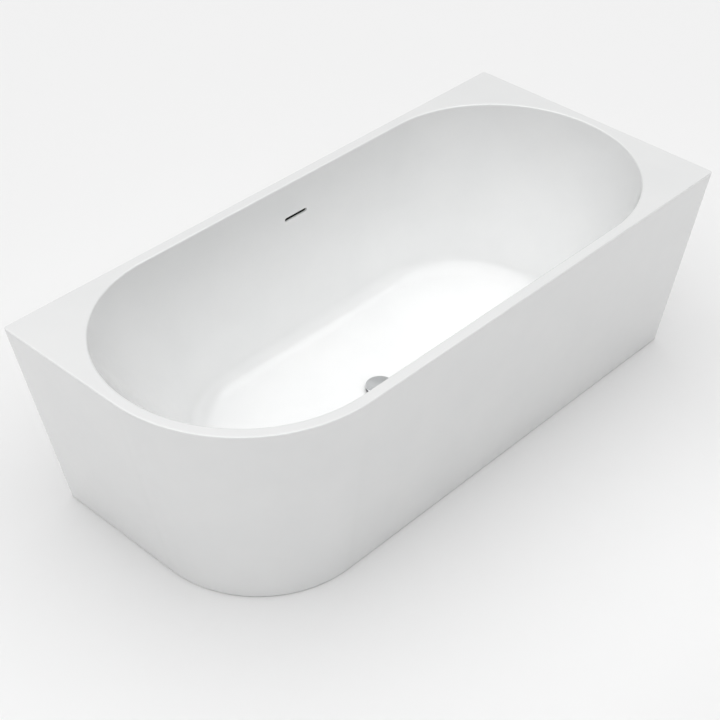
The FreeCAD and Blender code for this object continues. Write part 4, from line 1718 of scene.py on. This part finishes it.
@dataclass
class Support:
    """The steel frame under the bath: tubes, caps, tabs, screws, nuts and welds.

    Attributes:
        shop: the finishes and the Geometry Nodes trees.
        tube_edge: the rounding of the tubes' edges.
        nut_flats, nut_height, nut_bore: the hexagon nuts.
        head, head_height: the radius and height of a screw's head.
        shank, screw_end: the radius of a screw's shank and where its point begins.
        recess: half the length and half the width of each arm of the cross recess.
        recess_corner: the rounding of an arm's corners.
        recess_depth: how deep the cross recess is.
        centre_offset: how far the middle screws stand from the centre cross member.
        weld_size, weld_step: the radius of a weld's drops, and their step as a share of it.
        weld_end: how far a weld stops short of the tube's sides.
    """

    shop: Workshop
    tube_edge: float = 0.0018
    nut_flats: float = 0.019
    nut_height: float = 0.010
    nut_bore: float = 0.0061
    head: float = 0.004
    head_height: float = 0.0026
    shank: float = 0.00195
    screw_end: float = 0.014
    recess: tuple[float, float] = (0.0021, 0.0005)
    recess_corner: float = 0.0001
    recess_depth: float = 0.0012
    centre_offset: float = 0.130
    weld_size: float = 0.0022
    weld_step: float = 0.8
    weld_end: float = 0.003

    def foot_spots(self, level: float) -> list[Vector]:
        """The six feet's axes, at a height."""
        centres = [middle(f"foot_pad_{number}") for number in range(1, 7)]
        return [Vector((centre.x, centre.y, level)) for centre in centres]

    def build(self) -> None:
        """Makes every piece."""
        rails = ("frame_rail_front", "frame_rail_rear")
        members = ("cross_member_left", "cross_member_centre", "cross_member_right")
        for node in (*rails, *members):
            self.shop.finish(softened(node, self.tube_edge), Slot.FRAME_STEEL, "root", node)
        for node, width, slot in (
            ("fixing_tabs", 0.0006, Slot.FRAME_STEEL),
            ("tube_end_caps", 0.0012, Slot.BLACK_PLASTIC),
            ("corner_blocks", 0.0010, Slot.PLYWOOD),
            ("floor_board", 0.0010, Slot.PLYWOOD),
        ):
            self.shop.finish(softened(node, width), slot, "root", node)
        for node in ("weld_nuts", "lock_nuts"):
            nut = hexagon("nut", self.nut_flats, self.nut_height, self.nut_bore)
            spots = self.foot_spots(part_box(node)[0].z)
            piece = self.shop.spread(f"{node}_turned", nut, spots, Slot.ZINC_STEEL)
            self.shop.finish(piece, Slot.ZINC_STEEL, "root", node)
        self.build_screws()
        self.build_welds(rails, members)

    def build_screws(self) -> None:
        """Makes the board screws: flat pan heads with a cross recess."""
        low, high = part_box("board_screws")
        corners = [
            (POLE, 0.0),
            (self.head, 0.0),
            (self.head, self.head_height),
            (self.shank, self.head_height),
            (self.shank, self.screw_end),
            (POLE, self.screw_end + self.head_height),
        ]
        profile = rounded(corners, (0, 0.0016, 0, 0, 0, 0))
        screw = lathe("screw", profile, Vector((0, 0, 0)), segments=24, closed=False)
        arms = []
        half, thin = self.recess
        arm = Plan(-half, half, -thin, thin, (self.recess_corner,) * 4).loop((2,) * 4, (1,) * 4)
        for turn in (0.0, math.pi / 2):
            spin = Matrix.Rotation(turn, 3, "Z")
            rings = [[spin @ Vector((p.x, p.y, z)) for p in arm] for z in (-CUT_SPARE, self.recess_depth)]
            arms.append(skin("recess", rings, closed=False))
        carve(screw, *arms)
        row_x = (low.x + self.head, 0.0, high.x - self.head)
        centre_x = middle("cross_member_centre").x + self.centre_offset
        spots = [
            Vector((x if x else centre_x, y, low.z))
            for y in (low.y + self.head, high.y - self.head)
            for x in row_x
        ]
        piece = self.shop.spread("board_screws_headed", screw, spots, Slot.ZINC_STEEL)
        self.shop.finish(piece, Slot.ZINC_STEEL, "root", "board_screws")

    def build_welds(self, rails: Sequence[str], members: Sequence[str]) -> None:
        """Makes the weld seams where each rail sits on each cross member.

        Args:
            rails: the rails' nodes.
            members: the cross members' nodes.
        """
        beads = []
        for rail in rails:
            rail_low, rail_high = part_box(rail)
            for member in members:
                low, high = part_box(member)
                for y in (rail_low.y, rail_high.y):
                    ends = (low.x + self.weld_end, high.x - self.weld_end)
                    seam = [Vector((x, y, high.z)) for x in ends]
                    beads.append(
                        self.shop.weld.bake(
                            "bead",
                            seam,
                            True,
                            Step=self.weld_size * self.weld_step,
                            Size=self.weld_size,
                            Seed=len(beads),
                            Material=self.shop.wardrobe.materials[Slot.FRAME_STEEL],
                        )
                    )
        self.shop.finish(merged("frame_welds", beads), Slot.FRAME_STEEL, "root")


@dataclass
class Feet:
    """The six levelling feet: threaded studs with a hexagon collar, and moulded pads.

    Attributes:
        shop: the finishes and the Geometry Nodes trees.
        pitch, thread_radius: the thread.
        collar_flats, collar_height, collar_level: the collar, from the floor.
        webs: the number of ribs on a pad.
        web_half: half the thickness of a web.
        web_outline: a web's points at its neck end, as radius and height.
        web_foot: the heights of a web's outer end, and how far it stops from the pad's edge.
        pad_height, neck: the pad's height and its neck's radius.
        pad_edge: the height of the pad's edge.
        pad_slope: the radius and height where the pad's slope begins.
        socket, socket_floor: the radius and floor of the stud's socket.
    """

    shop: Workshop
    pitch: float = 0.00175
    thread_radius: float = 0.00595
    collar_flats: float = 0.017
    collar_height: float = 0.008
    collar_level: float = 0.022
    webs: int = 8
    web_half: float = 0.0011
    web_outline: tuple[tuple[float, float], ...] = ((0.0112, 0.0185), (0.0105, 0.0185))
    web_foot: tuple[float, float, float] = (0.0055, 0.0068, 0.003)
    pad_height: float = 0.020
    neck: float = 0.011
    pad_edge: float = 0.006
    pad_slope: tuple[float, float] = (0.015, 0.0072)
    socket: float = 0.00625
    socket_floor: float = 0.008

    def build(self) -> None:
        """Makes the feet, each pad and stud on its own body."""
        for number in range(1, 7):
            self.build_stud(number)
            self.build_pad(number)

    def build_stud(self, number: int) -> None:
        """Makes one stud.

        Args:
            number: the foot's number.
        """
        node = f"foot_stud_{number}"
        low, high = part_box(node)
        axis = middle(node)
        thread = self.shop.thread.bake(
            "thread",
            [Vector((axis.x, axis.y, low.z))],
            False,
            Radius=self.thread_radius,
            Pitch=self.pitch,
            Length=high.z - low.z,
            Material=self.shop.wardrobe.materials[Slot.ZINC_STEEL],
        )
        collar = hexagon("collar", self.collar_flats, self.collar_height, self.thread_radius * 0.8)
        collar.data.transform(Matrix.Translation((axis.x, axis.y, self.collar_level)))
        piece = merged(f"{node}_threaded", [thread, collar])
        self.shop.finish(piece, Slot.ZINC_STEEL, f"stud_{number}", node)

    def build_pad(self, number: int) -> None:
        """Makes one pad, with webs from its neck to its rim.

        Args:
            number: the foot's number.
        """
        node = f"foot_pad_{number}"
        low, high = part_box(node)
        centre = middle(node)
        centre.z = low.z
        radius = (high.x - low.x) / 2
        corners = [
            (POLE, 0.0),
            (radius, 0.0),
            (radius, self.pad_edge),
            self.pad_slope,
            (self.neck, self.pad_height),
            (self.socket, self.pad_height),
            (self.socket, self.socket_floor),
            (POLE, self.socket_floor),
        ]
        profile = rounded(corners, (0, 0.001, 0.002, 0.003, 0.0012, 0.0006, 0, 0))
        pad = lathe("pad", profile, centre, segments=64, closed=False)
        parts = [pad]
        low_end, high_end, spare = self.web_foot
        inner = self.web_outline[-1][0]
        outline = ((inner, low_end), (radius - spare, low_end), (radius - spare, high_end), *self.web_outline)
        side = [Vector((x, 0, z)) for x, z in outline]
        for step in range(self.webs):
            turn = Matrix.Rotation(math.tau * step / self.webs, 3, "Z")
            faces = (-self.web_half, self.web_half)
            rings = [[centre + turn @ (p + Vector((0, y, 0))) for p in side] for y in faces]
            parts.append(skin("web", rings, closed=False))
        self.shop.finish(merged(f"{node}_ribbed", parts), Slot.BLACK_PLASTIC, f"foot_{number}", node)


# ---- studio -------------------------------------------------------------------------------


@dataclass(frozen=True)
class Glow:
    """A wide soft light from far away, like a large lit ceiling or screen.

    Attributes:
        name: its name.
        source: the direction that it comes from.
        power: its strength.
        spread: its width as seen from the bath, in degrees.
    """

    name: str
    source: tuple[float, float, float]
    power: float
    spread: float

    def build(self) -> None:
        """Makes the light."""
        light = bpy.data.lights.new(self.name, "SUN")
        light.energy = self.power
        light.angle = math.radians(self.spread)
        lamp = bpy.data.objects.new(self.name, light)
        lamp.rotation_euler = (-Vector(self.source)).to_track_quat("-Z", "Y").to_euler()
        bpy.context.scene.collection.objects.link(lamp)


@dataclass
class Studio:
    """The plain floor, the soft lights and the camera.

    Attributes:
        camera_place: where the camera stands.
        camera_turn: its rotation in degrees.
        lens: its focal length in millimetres, on a 36 mm sensor.
        floor_colour: the floor's grey.
        sky: the strength of the light from all round.
        floor_reach: how far the floor runs each way.
        lamps: the soft lights.
    """

    camera_place: tuple[float, float, float] = (-2.43992, -2.18791, 2.82103)
    camera_turn: tuple[float, float, float] = (51.7540, -0.6568, -46.6839)
    lens: float = 80.948
    floor_colour: float = 0.90
    sky: float = 0.02
    floor_reach: float = 40.0
    lamps: tuple[Glow, ...] = (Glow("ceiling_light", (-0.13, -0.05, 1.0), 3.06, 100.0),)

    def build(self) -> None:
        """Makes the floor, the lights, the background and the camera."""
        self.build_floor()
        self.build_sky()
        for lamp in self.lamps:
            lamp.build()
        camera = bpy.data.cameras.new("camera")
        camera.lens = self.lens
        camera.sensor_width = 36.0
        camera.clip_end = 100.0
        stand = bpy.data.objects.new("camera", camera)
        stand.location = self.camera_place
        stand.rotation_euler = [math.radians(angle) for angle in self.camera_turn]
        bpy.context.scene.collection.objects.link(stand)
        bpy.context.scene.camera = stand
        bpy.context.scene.view_settings.view_transform = "Standard"

    def build_floor(self) -> None:
        """Makes the pale floor."""
        reach = self.floor_reach
        turns = ((-1, -1), (1, -1), (1, 1), (-1, 1))
        corners = [Vector((x * reach, y * reach, 0.0)) for x, y in turns]
        floor = blank("studio_floor", corners, [[0, 1, 2, 3]])
        material = bpy.data.materials.new("studio_floor")
        material.use_nodes = True
        shader = material.node_tree.nodes["Principled BSDF"]
        shader.inputs["Base Color"].default_value = (self.floor_colour,) * 3 + (1,)
        shader.inputs["Roughness"].default_value = 0.9
        shader.inputs["Specular IOR Level"].default_value = 0.1
        floor.data.materials.append(material)

    def build_sky(self) -> None:
        """Makes the even light from all round."""
        world = bpy.data.worlds.new("sky")
        bpy.context.scene.world = world
        world.use_nodes = True
        background = world.node_tree.nodes["Background"]
        background.inputs["Color"].default_value = (1.0, 1.0, 1.0, 1.0)
        background.inputs["Strength"].default_value = self.sky


def main() -> None:
    """Builds the bathtub and its studio, piece by piece."""
    logging.basicConfig(level=logging.INFO, format="%(asctime)s %(name)s: %(message)s")
    wardrobe = Wardrobe()
    wardrobe.dress_frame()
    log.info("frame dressed: %d nodes", len(frame["nodes"]))
    shop = Workshop(wardrobe)
    shell = Shell()
    for maker in (Basin(shell, shop), Skirt(shell, shop), Drain(shop), Support(shop), Feet(shop), Studio()):
        maker.build()
        log.info("%s built", type(maker).__name__)


if __name__ == "__main__":
    main()
